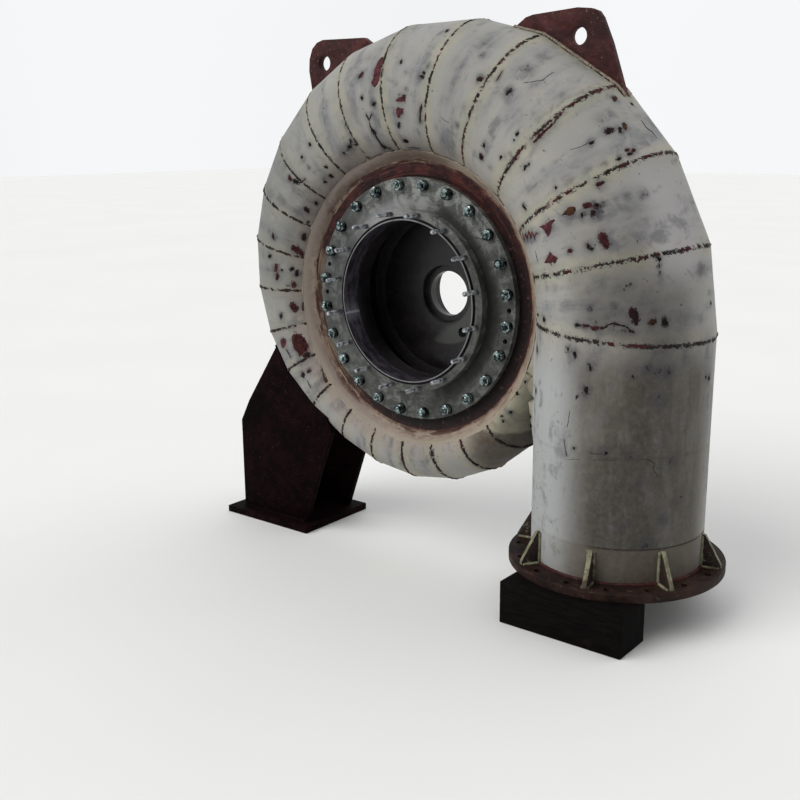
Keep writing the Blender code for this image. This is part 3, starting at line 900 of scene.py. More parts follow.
# %% [markdown]
# ## Covers
# The front cover carries the throat that the runner turns in. Its outer face is a mottled
# grey wash over cast iron, while the throat is bright from the lathe and shows fine turned
# lines. The same recipe serves both and changes over where the bore begins.
# %% Cover finish
def cover_recipe(pen, place):
    out = from_axis(pen, place)
    x, y, z = place.parts()
    x, y, z = x - AXIS.x, y - AXIS.y, z - AXIS.z
    cloud = place.noise(6.0, 4, 0.6)
    patch = place.noise(22.0, 5, 0.70, 0.7)
    fine = place.noise(85.0, 4, 0.65)
    drawn = round_strokes(pen, place, 5.0, 90.0)
    # the mottled wash
    grey = pen.mix(patch.ramp(0.40, 0.58), paint(132, 134, 130), paint(72, 74, 72))
    grey = pen.mix(cloud.ramp(0.50, 0.66) * 0.7, grey, paint(66, 62, 56))
    grey = pen.mix(drawn.ramp(0.50, 0.62) * 0.5, grey, paint(52, 50, 48))
    grey = pen.mix(place.noise(46.0, 5, 0.74, 0.4).ramp(0.57, 0.68) * 0.6, grey,
                   paint(146, 144, 138))
    grey = pen.mix(fine.ramp(0.60, 0.70) * 0.5, grey, paint(34, 32, 30))
    # paler at the crown, darker at the left and the lower right, and painted shadow in
    # the collar's corner
    crown = z.ramp(0.14, 0.26) * x.ramp(0.08, -0.06) * out.ramp(0.35, 0.31)
    grey = pen.mix(crown * 0.6, grey, paint(150, 150, 152))
    left = x.ramp(-0.10, -0.26)
    grey = pen.mix(left * 0.55, grey, paint(50, 54, 55))
    aside = (x - z * 0.7).ramp(-0.10, 0.34)
    grey = pen.mix(aside * 0.55, grey, paint(34, 35, 32))
    wide = out - 0.016 * z.ramp(0.16, -0.04)
    shade = wide.ramp(0.350, 0.312) * x.ramp(0.04, 0.15) * y.ramp(-0.010, -0.002)
    grey = pen.mix(shade * 0.92, grey, paint(12, 12, 10))
    # the raised collar, and painted shade in its groove
    raised = y.ramp(-0.004, -0.034) * (1 - crown)
    grey = pen.mix(raised * 0.35, grey, paint(58, 56, 54))
    groove_shade = out.ramp(0.2752, 0.2747) * y.ramp(-0.0372, -0.0364)
    grey = pen.mix(groove_shade * 0.95, grey, paint(8, 7, 8))
    # the turned bore, a painted streak of light, and painted shade darkening its far end
    turned = pen.mix(drawn.ramp(0.42, 0.58), paint(92, 88, 98), paint(50, 44, 52))
    off = pen.maths("ABSOLUTE", z + 0.060 + (drawn - 0.5) * 0.010)
    glint = off.ramp(0.006, 0.001) * 0.6 + off.ramp(0.040, 0.0) * 0.22
    turned = pen.mix(glint * x.ramp(0.0, -0.1), turned, paint(190, 192, 205))
    turned = pen.mix(y.ramp(0.055, 0.098), turned, paint(18, 15, 17))
    # which of them shows where, with painted shade inside the casing
    bore = out.ramp(0.2634, 0.2628) * y.ramp(0.2520, 0.2500)
    inside = y.ramp(0.026, 0.034) * y.ramp(0.2520, 0.2500)
    lip = y.ramp(-0.0396, -0.0404) * out.ramp(0.2690, 0.2680)
    colour = pen.mix(bore, grey, turned)
    colour = pen.mix(inside, colour, pen.mix(patch.ramp(0.4, 0.6), paint(30, 26, 28),
                                             paint(18, 15, 17)))
    pale = out.ramp(0.103, 0.110) * out.ramp(0.176, 0.166) * (x - z).ramp(0.10, 0.15)
    colour = pen.mix(pale * inside * 0.8, colour, paint(70, 73, 70))
    colour = pen.mix(lip * 0.8, colour, paint(128, 128, 132))
    rings = pen.maths("SINE", y * 2600)
    height = (patch * 0.7 + fine * 0.3) * (1 - bore) + rings * 0.03 * bore
    roughness = (0.46 + 0.3 * patch) * (1 - bore) + (0.20 + 0.22 * drawn) * bore
    return colour, roughness, height, 0.15 + 0.35 * bore * (1 - inside)


cover_finish = finish("greyed_cover", cover_recipe, metallic=0.15, bump_depth=0.0012)

# %% [markdown]
# ## The front cover
# It is a disc with a raised collar, and the throat is its bore. A narrow groove runs round
# in the collar's face. Four holes between the nuts are for jacking screws, which push the
# cover off its seat. They are cut with rods, as a swept profile can't have holes.
# %% Front cover
COVER, COVER_RADIUS, SPIGOT, COVER_EASED = 0.025, 0.398, 0.2995, 0.0012
THROAT, COLLAR, COLLAR_FACE = 0.2625, 0.3005, -0.037
front = sweep("throat_cover", soften([
    (THROAT, -0.041), (0.2672, -0.041), (0.2672, -0.029), (0.2742, -0.029),
    (0.2742, COLLAR_FACE), (COLLAR, COLLAR_FACE), (COLLAR, 0.0),
    (COVER_RADIUS, 0.0), (COVER_RADIUS, COVER), (SPIGOT, COVER), (SPIGOT, FRONT),
    (THROAT, FRONT)], COVER_EASED), cover_finish, ROUND_STEPS)
JACK_ANGLES, JACK_RADIUS = (90.0, 105.0, -75.0, -90.0), 0.008
jacks = []
for theta in JACK_ANGLES:
    angle = math.radians(theta)
    jacks.append((BOLT_CIRCLE * math.sin(angle), BOLT_CIRCLE * math.cos(angle), JACK_RADIUS))
cut_by(front, rods("jack_cutters", jacks, -0.020, 0.024))
tidy(front.data)
stand_for(front, "front_cover")
print("front cover:", len(front.data.polygons), "faces,", len(jacks), "jack holes")

# %% [markdown]
# ## The back cover
# The back closes the casing and holds the shaft's bearing housing, so its bore is stepped
# and it has one small port. It sits on the back ring as the front cover does on the front.
# %% Back cover
SEAT = 2 * Y_MID - 0.0253 + CLEARANCE
rear = sweep("bearing_cover", soften([
    (0.097, 0.180), (SPIGOT, 0.180), (SPIGOT, SEAT), (COVER_RADIUS, SEAT),
    (COVER_RADIUS, SEAT + COVER), (0.180, SEAT + COVER), (0.150, 0.300), (0.1065, 0.300),
    (0.1065, 0.235), (0.0765, 0.235), (0.0765, 0.205), (0.097, 0.205)], COVER_EASED),
    cover_finish, 192)
PORT = (0.075, -0.125, 0.017)
cut_by(rear, rods("port_cutter", [PORT], 0.100, 0.340))
tidy(rear.data)
stand_for(rear, "back_cover")
print("back cover:", len(rear.data.polygons), "faces")


# %% [markdown]
# ## Nuts and studs
# Twenty-four nuts hold the front cover, and sixteen studs stand ready in its collar. A nut
# is a hexagon whose top corners were turned off by a cone, so each corner dips in an arc.
# The stud is a rod with sharp rings: at this size rings look the same as a true thread and
# take far fewer faces.
# %% Zinc finish
def zinc_recipe(pen, place):
    patch = place.noise(60.0, 4, 0.6, 0.5)
    fine = place.noise(300.0, 3, 0.6)
    colour = pen.mix(patch.ramp(0.40, 0.58), paint(150, 166, 166), paint(30, 40, 43))
    colour = pen.mix(place.noise(110.0, 4, 0.7).ramp(0.58, 0.68), colour, paint(52, 42, 36))
    y = place.parts()[1] - AXIS.y
    washer = y.ramp(-0.0042, -0.0030) * y.ramp(SEAT + 0.028, SEAT + 0.026)
    colour = pen.mix(washer * 0.9, colour, paint(34, 34, 32))
    return colour, 0.16 + 0.30 * patch, patch * 0.4 + fine * 0.3


def bright_recipe(pen, place):
    patch = place.noise(70.0, 4, 0.6, 0.5)
    fine = place.noise(320.0, 3, 0.6)
    colour = pen.mix(patch.ramp(0.42, 0.62), paint(188, 192, 198), paint(84, 88, 92))
    root = (place.parts()[1] - AXIS.y).ramp(-0.066, -0.046)
    colour = pen.mix(root * 0.8, colour, paint(40, 40, 44))
    return colour, 0.24 + 0.28 * patch, patch * 0.4 + fine * 0.3


zinc = finish("zinc_plate", zinc_recipe, metallic=0.85, bump_depth=0.0004)
bright = finish("bright_steel", bright_recipe, metallic=0.85, bump_depth=0.0004)


# %% Nut with its stud end
def turned_part(name, rings, caps, sharp):
    """A part about Y: one list of radius and height for each step round, and flat ends."""
    steps, rows = len(rings), len(rings[0])
    points = [Vector((r * math.sin(2 * math.pi * i / steps), y,
                      r * math.cos(2 * math.pi * i / steps)))
              for i in range(steps) for r, y in rings[i]]
    faces = [(i * rows + j, (i + 1) % steps * rows + j, (i + 1) % steps * rows + j + 1,
              i * rows + j + 1) for i in range(steps) for j in range(rows - 1)]
    faces += [tuple(i * rows + cap for i in range(steps)) for cap in caps]
    mesh = bpy.data.meshes.new(name)
    mesh.from_pydata(points, [], faces)
    return add_piece(name, tidy(mesh, sharp=sharp))


def nut_part(flats, height, bolt, stand, washer):
    """A chamfered nut on a washer, with the stud standing out of it towards -Y."""
    steps, seat, flat = 36, 0.003, flats / 2
    rings = []
    for i in range(steps):
        phi = 2 * math.pi * i / steps
        hexa = flat / math.cos((phi + math.pi / 6) % (math.pi / 3) - math.pi / 6)
        drop = max(0.0, hexa - flat * 0.98) * math.tan(math.radians(30))
        ring = ((washer, 0.0), (washer, seat), (hexa - 0.0008, seat), (hexa, 0.0038),
                (hexa, seat + height - drop), (flat * 0.95, seat + height),
                (bolt * 0.98, seat + height - 0.001),
                (bolt * 0.92, seat + height + stand - 0.002),
                (bolt * 0.70, seat + height + stand), (0.0, seat + height + stand))
        rings.append([(radius, -down) for radius, down in ring])
    return turned_part("nut", rings, (0,), 28)


NUT_SIZES = {"flats": 0.031, "height": 0.017, "bolt": 0.0098, "stand": 0.007,
             "washer": 0.0185}
cover_nuts = circle_of("cover_nuts", nut_part(**NUT_SIZES), BOLTS, FIRST_BOLT, BOLT_CIRCLE,
                       0.0, zinc, twist=0.5, seed=3)
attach(cover_nuts, "root")


# %% Threaded stud
def stud_part(radius, length, pitch):
    """A rod towards -Y with a sharp ring at every pitch."""
    profile = [(radius * 0.86, 0.004)]
    down = 0.001
    while down < length - 0.003:
        profile += [(radius * 0.87, -down), (radius, -(down + pitch * 0.42)),
                    (radius, -(down + pitch * 0.58))]
        down += pitch
    profile += [(radius * 0.84, -(length - 0.0015)), (radius * 0.70, -length)]
    return turned_part("stud", [profile] * 20, (0, len(profile) - 1), 50)


STUDS, FIRST_STUD, STUD_CIRCLE = 16, 11.25, 0.2855
studs = circle_of("draft_tube_studs", stud_part(radius=0.0075, length=0.0705, pitch=0.0025),
                  STUDS, FIRST_STUD, STUD_CIRCLE, COLLAR_FACE, bright, twist=3.0, seed=5)
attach(studs, "root")

# %% Nuts at the back
back_nuts = circle_of("back_cover_nuts", nut_part(**NUT_SIZES), BOLTS, FIRST_BOLT,
                      BOLT_CIRCLE, 0.0, zinc, twist=0.5, seed=8)
back_nuts.data.transform(Matrix.Translation((0, 2 * AXIS.y + SEAT + COVER, 0))
                         @ Matrix.Scale(-1, 4, (0, 1, 0)))
tidy(back_nuts.data, sharp=28)
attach(back_nuts, "root")
print("back nuts box:", [round(c, 3) for c in back_nuts.bound_box[0]])

# %% [markdown]
# ## The inlet
# Three lengths of 530 mm tube lead down to the flange. The top one opens into the shell, so
# it is cut by the seam plane and by the stay ring's cylinder. Fine meshes matter here only
# for the attribute that tells the filler where the joints are.
# %% Tube lengths
CENTRE = (X_PIPE, Y_MID)
PIPE_STEPS = 160


def tube(name, low, high, rows):
    """A tube of the inlet, with rings close enough to carry its attributes."""
    outer = [(RHO_INLET, low + (high - low) * i / rows) for i in range(rows + 1)]
    inner = [(RHO_INLET - PLATE, high), (RHO_INLET - PLATE, low)]
    return sweep(name, outer + inner, filler, PIPE_STEPS, CENTRE)


SLOPE = math.tan(math.radians(THETA_INLET - 90.0))
top_tube = tube("inlet_opening", Z_JOINT + CLEARANCE, 0.050, 30)
work = bmesh.new()
corners = [(0.2, -0.2 * SLOPE - CLEARANCE), (1.2, -1.2 * SLOPE - CLEARANCE),
           (1.2, 0.2), (0.2, 0.2)]
for y in (-0.3, 0.6):
    work.faces.new([work.verts.new(at(a, y, b)) for a, b in corners])
work.verts.ensure_lookup_table()
for i in range(4):
    j = (i + 1) % 4
    work.faces.new([work.verts[k] for k in (i, j, 4 + j, 4 + i)])
bmesh.ops.recalc_face_normals(work, faces=work.faces)
plane_mesh = bpy.data.meshes.new("seam_plane")
work.to_mesh(plane_mesh)
work.free()
cut_by(top_tube, add_piece("seam_plane", plane_mesh))
cut_by(top_tube, sweep("ring_cutter", [(0.150, -0.300), (R_SCROLL, -0.300),
                                       (R_SCROLL, 0.600), (0.150, 0.600)], None,
                       ROUND_STEPS))
tidy(top_tube.data)

# %% Joints of the tubes, and the nose cut by the pipe
tilt = math.radians(THETA_INLET)
measure(top_tube, [(at(0, 0, Z_JOINT), (0, 0, 1)),
                   (at(0, 0, 0), (math.cos(tilt), 0, -math.sin(tilt)))])
stand_for(top_tube, "inlet_transition")
pipe = tube("inlet_tube", Z_NECK + CLEARANCE, Z_JOINT, 24)
measure(pipe, [(at(0, 0, Z_JOINT), (0, 0, 1)), (at(0, 0, Z_NECK), (0, 0, 1))])
stand_for(pipe, "inlet_pipe")
neck = tube("inlet_end", Z_FLANGE + CLEARANCE, Z_NECK, 12)
measure(neck, [(at(0, 0, Z_NECK), (0, 0, 1)), (at(0, 0, Z_FLANGE), (0, 0, 1))])
stand_for(neck, "inlet_neck")
nose = plates[-1]
cut_by(nose, rods("pipe_cutter", [(X_PIPE, Y_MID, RHO_INLET + CLEARANCE)], -0.9, 0.1, "Z",
                  PIPE_STEPS))
print("inlet:", sum(len(part.data.polygons) for part in (top_tube, pipe, neck)), "faces")

# %% [markdown]
# ## The tongue
# Beside the pipe the round ring and the round pipe leave a narrow wedge. On the real casing
# it is closed with a strip that is buried in filler. The strip runs from the ring's rim to
# the pipe, and lower down from the small end of the scroll to the pipe. Rays from the front
# find the scroll's surface, so the strip starts on it everywhere.
# %% Tongue strip
nose_tree = BVHTree.FromPolygons([vertex.co for vertex in nose.data.vertices],
                                 [list(polygon.vertices) for polygon in nose.data.polygons])
ROWS, COLUMNS = 70, 6
TOP, RUN = -0.020, 0.380
WIDE, NARROWED, NARROWS_AT, NARROWS_OVER = 0.056, 0.036, -0.190, 0.210
INTO_PIPE, OVER_RING, SAG = 0.0012, 0.0015, 0.18


def pipe_side(y):
    """Where the pipe's skin stands at a depth, a little way inside it."""
    return X_PIPE - math.sqrt(RHO_INLET ** 2 - (Y_MID - y) ** 2) + INTO_PIPE


grid = []
for i in range(ROWS + 1):
    z = TOP - RUN * i / ROWS
    wide = WIDE - NARROWED * max(0.0, (NARROWS_AT - z) / NARROWS_OVER)
    x_in = max(math.sqrt(R_SCROLL ** 2 - z * z) - OVER_RING, pipe_side(-0.034) - wide)
    start = at(x_in, rim + 0.0035, z)
    hit = nose_tree.ray_cast(at(x_in, -0.2, z), Vector((0, 1, 0)))[0]
    if hit and x_in > math.sqrt(R_SCROLL ** 2 - z * z):
        start = hit + Vector((0, 0.0025, 0))
    y_out = rim - 0.004
    end = at(pipe_side(y_out), y_out, z)
    row = []
    for j in range(COLUMNS + 1):
        share = j / COLUMNS
        sag = SAG * share * (1 - share) * (end - start).length
        row.append(start.lerp(end, share) + Vector((0.0, sag, 0.0)))
    grid.append(row)
across = COLUMNS + 1
faces = [(a, a + 1, a + across + 1, a + across)
         for a in (across * i + j for i in range(ROWS) for j in range(COLUMNS))]
strip_mesh = bpy.data.meshes.new("tongue_strip")
strip_mesh.from_pydata([tuple(p) for row in grid for p in row], [], faces)
if sum(polygon.normal.y for polygon in strip_mesh.polygons) > 0:
    strip_mesh.flip_normals()
tongue = add_piece("tongue_strip", strip_mesh, filler)
measure(tongue)
wall(tongue, PLATE / 2)
smooth(tongue.data, SMOOTH_ANGLE)
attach(tongue, "root")
print("tongue strip:", len(tongue.data.polygons), "faces")

# %% [markdown]
# ## Bare spots
# Sanding has gone through the filler in places, down to red primer or dark old scale. The
# place of each spot was read from the photograph. A ray from the camera finds the skin
# under its pixel, so the spot lies on the plate whatever side it is seen from. Hard spots
# are thin lenses of mesh let into the skin. Soft smudges are only an attribute, and the
# filler recipe darkens by it.
# %% Find the skin under a pixel
skin_parts = plates + [top_tube, pipe, neck, tongue]
points, faces = [], []
for part in skin_parts:
    first = len(points)
    points += [vertex.co.copy() for vertex in part.data.vertices]
    faces += [[first + i for i in polygon.vertices] for polygon in part.data.polygons]
skin = BVHTree.FromPolygons(points, faces)


def touch(px, py, near=None):
    """The skin's point and outward normal under a pixel, kept close to a first point."""
    ray = sight(px, py)
    point, normal, _, _ = skin.ray_cast(EYE, ray)
    if point is None or (near and (point - near[0]).length > 0.20):
        return near
    return point, (-normal if normal.dot(ray) > 0 else normal)


print("skin to search:", len(faces), "faces")

# %% [markdown]
# ## What was seen
# A spot is a pixel, a width, a height and a turn in degrees. A soft spot is a pixel, a
# width and a strength. A patch is the outline of a bigger bare place, and a stroke is a
# width and the pixels that a scratch or a dark run passes through.
# %% Spots seen in the photograph
RED_SPOTS = (
    (361, 75, 9, 4, 115), (290, 178, 6, 6, 20), (296, 249, 11, 7, 15), (301, 253, 5, 7, -20),
    (276, 268, 4, 9, 0), (277, 277, 4, 8, 0), (294, 307, 9, 9, 0), (309, 371, 5, 4, 0),
    (615, 99, 6, 6, 0), (526, 251, 3, 5, 0), (570, 251, 6, 5, 0), (600, 184, 11, 3, -20),
    (627, 150, 5, 4, 0), (634, 150, 6, 4, 0), (586, 325.5, 8, 4, 10), (595, 328, 8, 5, 0))
DEEP_SPOTS = (
    (307, 210, 6, 8, -20), (304, 237, 6, 8, 20), (304, 306, 4, 10, 0), (305, 270, 3, 8, 0),
    (609, 131, 10, 8, 0), (630, 154, 7, 4, 0), (481, 157, 6, 8, -10), (653, 322, 8, 9, -20),
    (422, 77, 6, 5, 0), (597, 205, 5, 6, 20), (593, 213, 6, 8, -15), (307, 355, 7, 6, 0),
    (273, 236, 3, 8, 0), (303, 375, 5, 6, 0), (480, 79, 7, 7, 0), (374, 132, 4, 8, -30),
    (602, 328, 5, 4, 0), (616, 324, 7, 3, 20), (631, 331, 7, 3, 35))
DARK_SPOTS = (
    (447, 31, 6, 3, -35), (401, 62, 3, 5, 15), (424, 73, 4, 4, 0), (399, 125, 3, 6, 0),
    (406, 141, 8, 5, 35), (384, 147, 8, 4, 35), (350, 147, 5, 4, 0),
    (350.5, 141.5, 1.8, 6, 0), (344, 153, 3, 2, 30), (355.5, 145, 2.5, 2, 0),
    (310, 145, 3, 5, 0), (302, 157, 3, 4, 20), (326, 167, 4, 3, 0), (331, 176, 6, 4, 25),
    (325, 182, 4, 3, 0), (296, 182, 8, 4, 25), (362, 98, 4, 4, 0), (374, 104, 4, 6, 15),
    (316, 203, 4, 5, 0), (308, 222, 3, 3, 0), (270, 256, 4, 4, 40), (292, 269, 5, 5, 0),
    (297, 273, 4, 9, 0), (307, 314, 3, 5, 0), (281, 316, 2.5, 8, 10), (325, 364, 4, 5, 0),
    (321, 357, 2, 3, 0), (509, 92, 9, 4, -45), (517, 134, 4, 4, 0), (484, 145, 3, 5, 0),
    (591, 143, 6, 4, -15), (619, 159, 7, 3, -12), (556, 188, 4, 4, 0), (524, 207, 8, 2.5, 45),
    (582, 215, 4, 6, 0), (588, 246, 4, 7, 0), (592, 249, 6, 3, 35), (665, 323, 8, 9, 0),
    (577, 325, 5, 5, 30), (544, 320, 4, 6, 0), (535, 290, 3, 10, 0), (659, 259, 6, 4, 0),
    (575, 354, 4, 9, -15), (568, 349, 2, 6, 0), (586, 390, 5, 9, 10), (577, 397, 2, 3, 0),
    (709, 378, 3, 6, 0), (706, 377, 2, 4, 0), (606, 453, 4, 4, 0), (681, 497, 2, 2, 0),
    (632, 104, 5, 3, 40), (711, 303, 2, 5, 0), (501, 157, 3, 5, 30), (620, 130, 4, 7, 0),
    (525, 168, 2.5, 7, 20), (529, 164, 2.5, 4, 0), (633, 377, 2, 6, -20), (590, 367, 3, 11, -8),
    (526, 367, 3, 4, 0), (525, 382, 2.5, 3, 0), (517, 393, 3.5, 5, 0), (503, 421, 2.5, 3, 0),
    (502, 416, 3, 2, 20), (511, 412, 4, 3, -20), (530.5, 417, 2, 4, 0), (531, 426, 2.5, 5, 0),
    (536, 391, 1.6, 9, 0), (537, 349, 1.6, 9, 0),
    (282, 270, 3, 2, 0), (574, 448, 3, 4, 0), (538, 315, 2.5, 4, 0), (514, 140, 2, 3, 0))
SOFT_SPOTS = (
    (483, 55, 6, 0.6), (457, 66, 12, 0.35), (452, 83, 12, 0.35), (445, 99, 9, 0.3),
    (450, 148, 16, 0.35), (485, 42, 20, 0.3), (429, 66, 5, 0.5), (406, 72, 5, 0.5),
    (405, 89, 4, 0.5), (396, 84, 4, 0.5), (412, 52, 7, 0.2), (464, 106, 5, 0.4),
    (457, 125, 5, 0.5), (367, 57, 10, 0.4), (345, 151, 10, 0.5), (343, 180, 7, 0.4),
    (327, 103, 6, 0.35), (336, 96, 8, 0.2), (299, 148, 5, 0.4), (309, 168, 5, 0.5),
    (284, 168, 5, 0.4), (347, 127, 5, 0.4), (320, 175, 16, 0.35), (350, 170, 10, 0.3),
    (269, 232, 4, 0.5), (268, 269, 5, 0.4), (300, 364, 6, 0.5), (300, 240, 12, 0.25),
    (300, 215, 12, 0.25), (528, 70, 12, 0.5), (541, 57, 10, 0.4), (535, 84, 8, 0.4),
    (601, 119, 11, 0.4), (611, 114, 5, 0.6), (618, 128, 8, 0.5), (568, 181, 9, 0.4),
    (490, 167, 5, 0.5), (605, 163, 5, 0.5), (643, 194, 8, 0.55), (628, 197, 6, 0.45),
    (616, 200, 5, 0.35), (562, 95, 6, 0.35), (578, 65, 8, 0.3), (585, 155, 14, 0.2),
    (530, 190, 9, 0.3), (520, 120, 14, 0.25), (504, 155, 6, 0.4), (534, 115, 8, 0.3),
    (630, 285, 9, 0.5), (590, 288, 8, 0.35), (572, 288, 7, 0.25), (555, 290, 5, 0.4),
    (590, 309, 6, 0.6), (614, 306, 6, 0.6), (621, 312, 6, 0.5), (655, 312, 8, 0.4),
    (607, 318, 8, 0.5), (648, 369, 8, 0.80), (658, 371, 9, 0.60), (667, 372, 9, 0.80),
    (660, 350, 16, 0.4), (690, 358, 14, 0.35), (629, 456, 7, 0.7), (672, 461, 8, 0.6),
    (687, 454, 4, 0.5), (638, 484, 9, 0.5), (676, 501, 9, 0.4), (690, 493, 4, 0.5),
    (662, 520, 8, 0.5), (645, 545, 10, 0.6), (622, 527, 8, 0.5), (681, 568, 5, 0.5),
    (612, 420, 14, 0.2), (592, 205, 9, 0.7), (597, 212, 8, 0.8), (601, 205, 6, 0.7),
    (584, 214, 5, 0.6), (570, 210, 9, 0.4), (607, 241, 8, 0.5), (548, 226, 8, 0.35),
    (633, 316, 9, 0.6), (598, 330, 9, 0.5), (612, 327, 9, 0.5), (624, 330, 9, 0.5),
    (586, 391, 9, 0.7), (603, 235, 9, 0.4), (596, 210, 12, 0.3), (610, 232, 7, 0.35),
    (625, 245, 14, 0.3), (640, 215, 18, 0.2), (590, 366, 8, 0.4), (630, 370, 10, 0.3),
    (660, 400, 14, 0.5), (700, 270, 10, 0.35), (680, 300, 14, 0.3), (535, 298, 10, 0.3),
    (600, 281, 13, 0.40), (575, 280, 12, 0.35), (623, 289, 14, 0.45), (645, 298, 12, 0.35),
    (683, 321, 16, 0.35), (659, 258, 4, 0.7), (659, 266, 4, 0.7), (660, 274, 4, 0.6),
    (661, 281, 4, 0.45), (300, 192, 13, 0.40), (307, 202, 8, 0.35), (290, 230, 12, 0.30),
    (352, 110, 16, 0.30), (350, 148, 8, 0.8), (345, 154, 6, 0.6), (355, 142, 5, 0.6),
    (374, 134, 6, 0.6), (384, 147, 7, 0.6), (602, 452, 7, 0.6), (590, 452, 5, 0.5),
    (625, 457, 7, 0.35), (302, 158, 7, 0.5), (326, 178, 8, 0.5), (370, 58, 9, 0.35),
    (377, 50, 7, 0.3), (595, 322, 12, 0.45), (614, 316, 12, 0.40))
RED_PATCHES = (
    ((582.6, 205.6), (585.8, 202.3), (590, 201.9), (592, 204.4), (590, 207.5), (585.8, 208.8)),
    ((599.5, 232.5), (602, 231.5), (605.1, 233.8), (607.3, 238.1), (609.5, 243.8),
     (608.3, 248.8), (605.1, 248.1), (601.4, 243.8), (599.8, 238.8)),
    ((290.8, 335.4), (294.2, 332.9), (298.3, 333.8), (301.7, 335.8), (305, 337.1),
     (306.7, 340.8), (307.9, 346.7), (307.5, 351.7), (304.2, 351.7), (300.8, 356.7),
     (298.8, 357.5), (297.9, 353.3), (293.8, 350), (292, 343.3)))
FRESH_PATCHES = (
    ((538.2, 226.3), (545, 224.4), (549.5, 220.6), (554.5, 218.5), (555.8, 220), (552.6, 223),
     (551.8, 227.5), (550.8, 233.8), (548.3, 237.8), (545, 233), (542, 228.8)),
    ((543.2, 263.1), (545.8, 259.4), (548.2, 255), (549.5, 251.2), (553.2, 254.4),
     (558.2, 257.5), (557, 261.9), (555.8, 263.8), (552, 262.5), (547.6, 263.8)),
    ((379.5, 58), (382, 55.5), (384.5, 56.5), (384.5, 60.5), (382, 65), (380.8, 73),
     (379, 82), (377.5, 86), (374.5, 89), (372, 86.5), (370.5, 83.5), (373, 79), (374, 69),
     (376.5, 63)),
    ((395, 100), (397, 98), (401, 96.5), (404, 94.5), (406.5, 94.5), (406, 102.5),
     (401, 101.5), (397, 102)),
    ((395.5, 109), (399, 107.5), (404.5, 108), (403, 111.5), (400.5, 114), (400, 117.5),
     (398, 119), (396.2, 115)),
    ((280, 340), (283, 337.5), (286, 338.5), (287, 342), (285.5, 346), (283, 349), (281, 347)))
RUST_PATCHES = (
    ((560.8, 215.6), (564.5, 211.9), (567.6, 207.5), (570.8, 205.6), (575.8, 206.9),
     (576.4, 210), (573.9, 215), (569.5, 216), (565.8, 215)),
    ((320.5, 362.5), (324, 363), (327, 366), (329, 371), (330, 377), (329, 381), (327, 384),
     (324.5, 383), (323, 377), (321.5, 370)),
    ((290.8, 284), (293, 282), (295.5, 281), (296.3, 285), (295, 288), (291.5, 288)),
    ((621.2, 123), (624.5, 122), (627, 124.5), (627.5, 128), (626, 131), (623.5, 129)))
DEEP_PATCHES = (
    ((628, 312), (631, 307), (634, 308), (638, 312), (639, 318), (638, 326), (635, 325),
     (633, 320), (629, 317)),)
FRESH_STROKES = (
    (3.4, (520.8, 238), (522.6, 233.8), (523.9, 241), (525.8, 233), (527, 239.4), (528.9, 231),
     (530.8, 238.8), (532, 231.9), (534.5, 237.5), (536.4, 232.5), (537.6, 233.8)),)
RED_STROKES = (
    (4.2, (533, 142), (538, 137.5), (544, 132), (549, 127.5), (553, 123.5)),
    (2.4, (553, 123.5), (558, 117), (564, 111)), (2.6, (506, 172), (512, 164), (517, 157)),
    (2.4, (496, 81), (500, 75), (503, 70.5)), (1.4, (311.5, 331), (312.5, 335)))
DARK_STROKES = (
    (2.6, (369, 122), (371, 128), (374, 133), (377, 138), (380, 143), (385, 147), (390, 149)),
    (2.0, (388, 149), (396, 151), (403, 150)), (2.5, (366, 113), (369, 121), (372, 113)),
    (2.5, (299, 184), (303, 181), (306, 178)),
    (3.2, (421.5, 104), (420.5, 112), (420, 118), (419.5, 123)),
    (2.0, (407, 147.5), (414, 148), (420, 148.5)), (1.1, (441, 117), (445, 121), (450, 122.5)),
    (1.3, (312.5, 333), (314.5, 339)), (1.8, (286, 349), (291, 358)),
    (1.8, (307, 380), (311, 388)), (1.8, (286, 285), (290, 286)),
    (1.3, (522, 83), (530, 82), (543, 80), (550, 74), (555, 72)), (1.0, (543, 80), (546, 84)),
    (1.2, (570, 150), (580, 147), (588, 143), (596, 140)),
    (1.5, (641, 120), (646, 127), (652, 132), (657, 138)), (2.4, (577, 324), (583, 326)),
    (2.8, (600, 328), (604, 328), (608, 325), (614, 323), (620, 325), (626, 327), (631, 330),
     (635, 333)),
    (2.2, (660, 257), (659, 263), (659.5, 268)), (1.0, (588, 453), (596, 454), (603, 454)),
    (1.2, (640, 459), (648, 459.5), (654, 463), (653.5, 470), (658.5, 477)),
    (1.2, (672, 459), (668, 464)), (1.2, (570, 410), (568.5, 420), (567, 428)),
    (1.8, (564, 438), (565, 448), (567, 457)), (1.6, (523, 385), (519, 390)),
    (1.5, (515, 396), (510, 401), (504, 407), (499, 411)), (1.4, (535, 250), (538, 262)),
    (0.9, (566, 459.5), (573, 459.5), (580, 459.5)),
    (0.9, (592, 460), (602, 460), (615, 460.5)))
print("hard spots:", len(RED_SPOTS + DEEP_SPOTS + DARK_SPOTS), "soft spots:", len(SOFT_SPOTS))

# %% [markdown]
# ## Lenses and ribbons
# Each spot becomes a closed lens, half a millimetre proud in the middle, with its rim sunk
# into the skin, so it meets the filler in a clean but uneven line. A stroke becomes a
# ribbon in the same way. Both also leave marks for the filler: a soft smudge round them,
# and a stain along them that the recipe tears into crumbs of primer.
# %% Outlines of the spots
dice = np.random.default_rng(11)
smudges = [(touch(px, py), size, strength) for px, py, size, strength in SOFT_SPOTS]


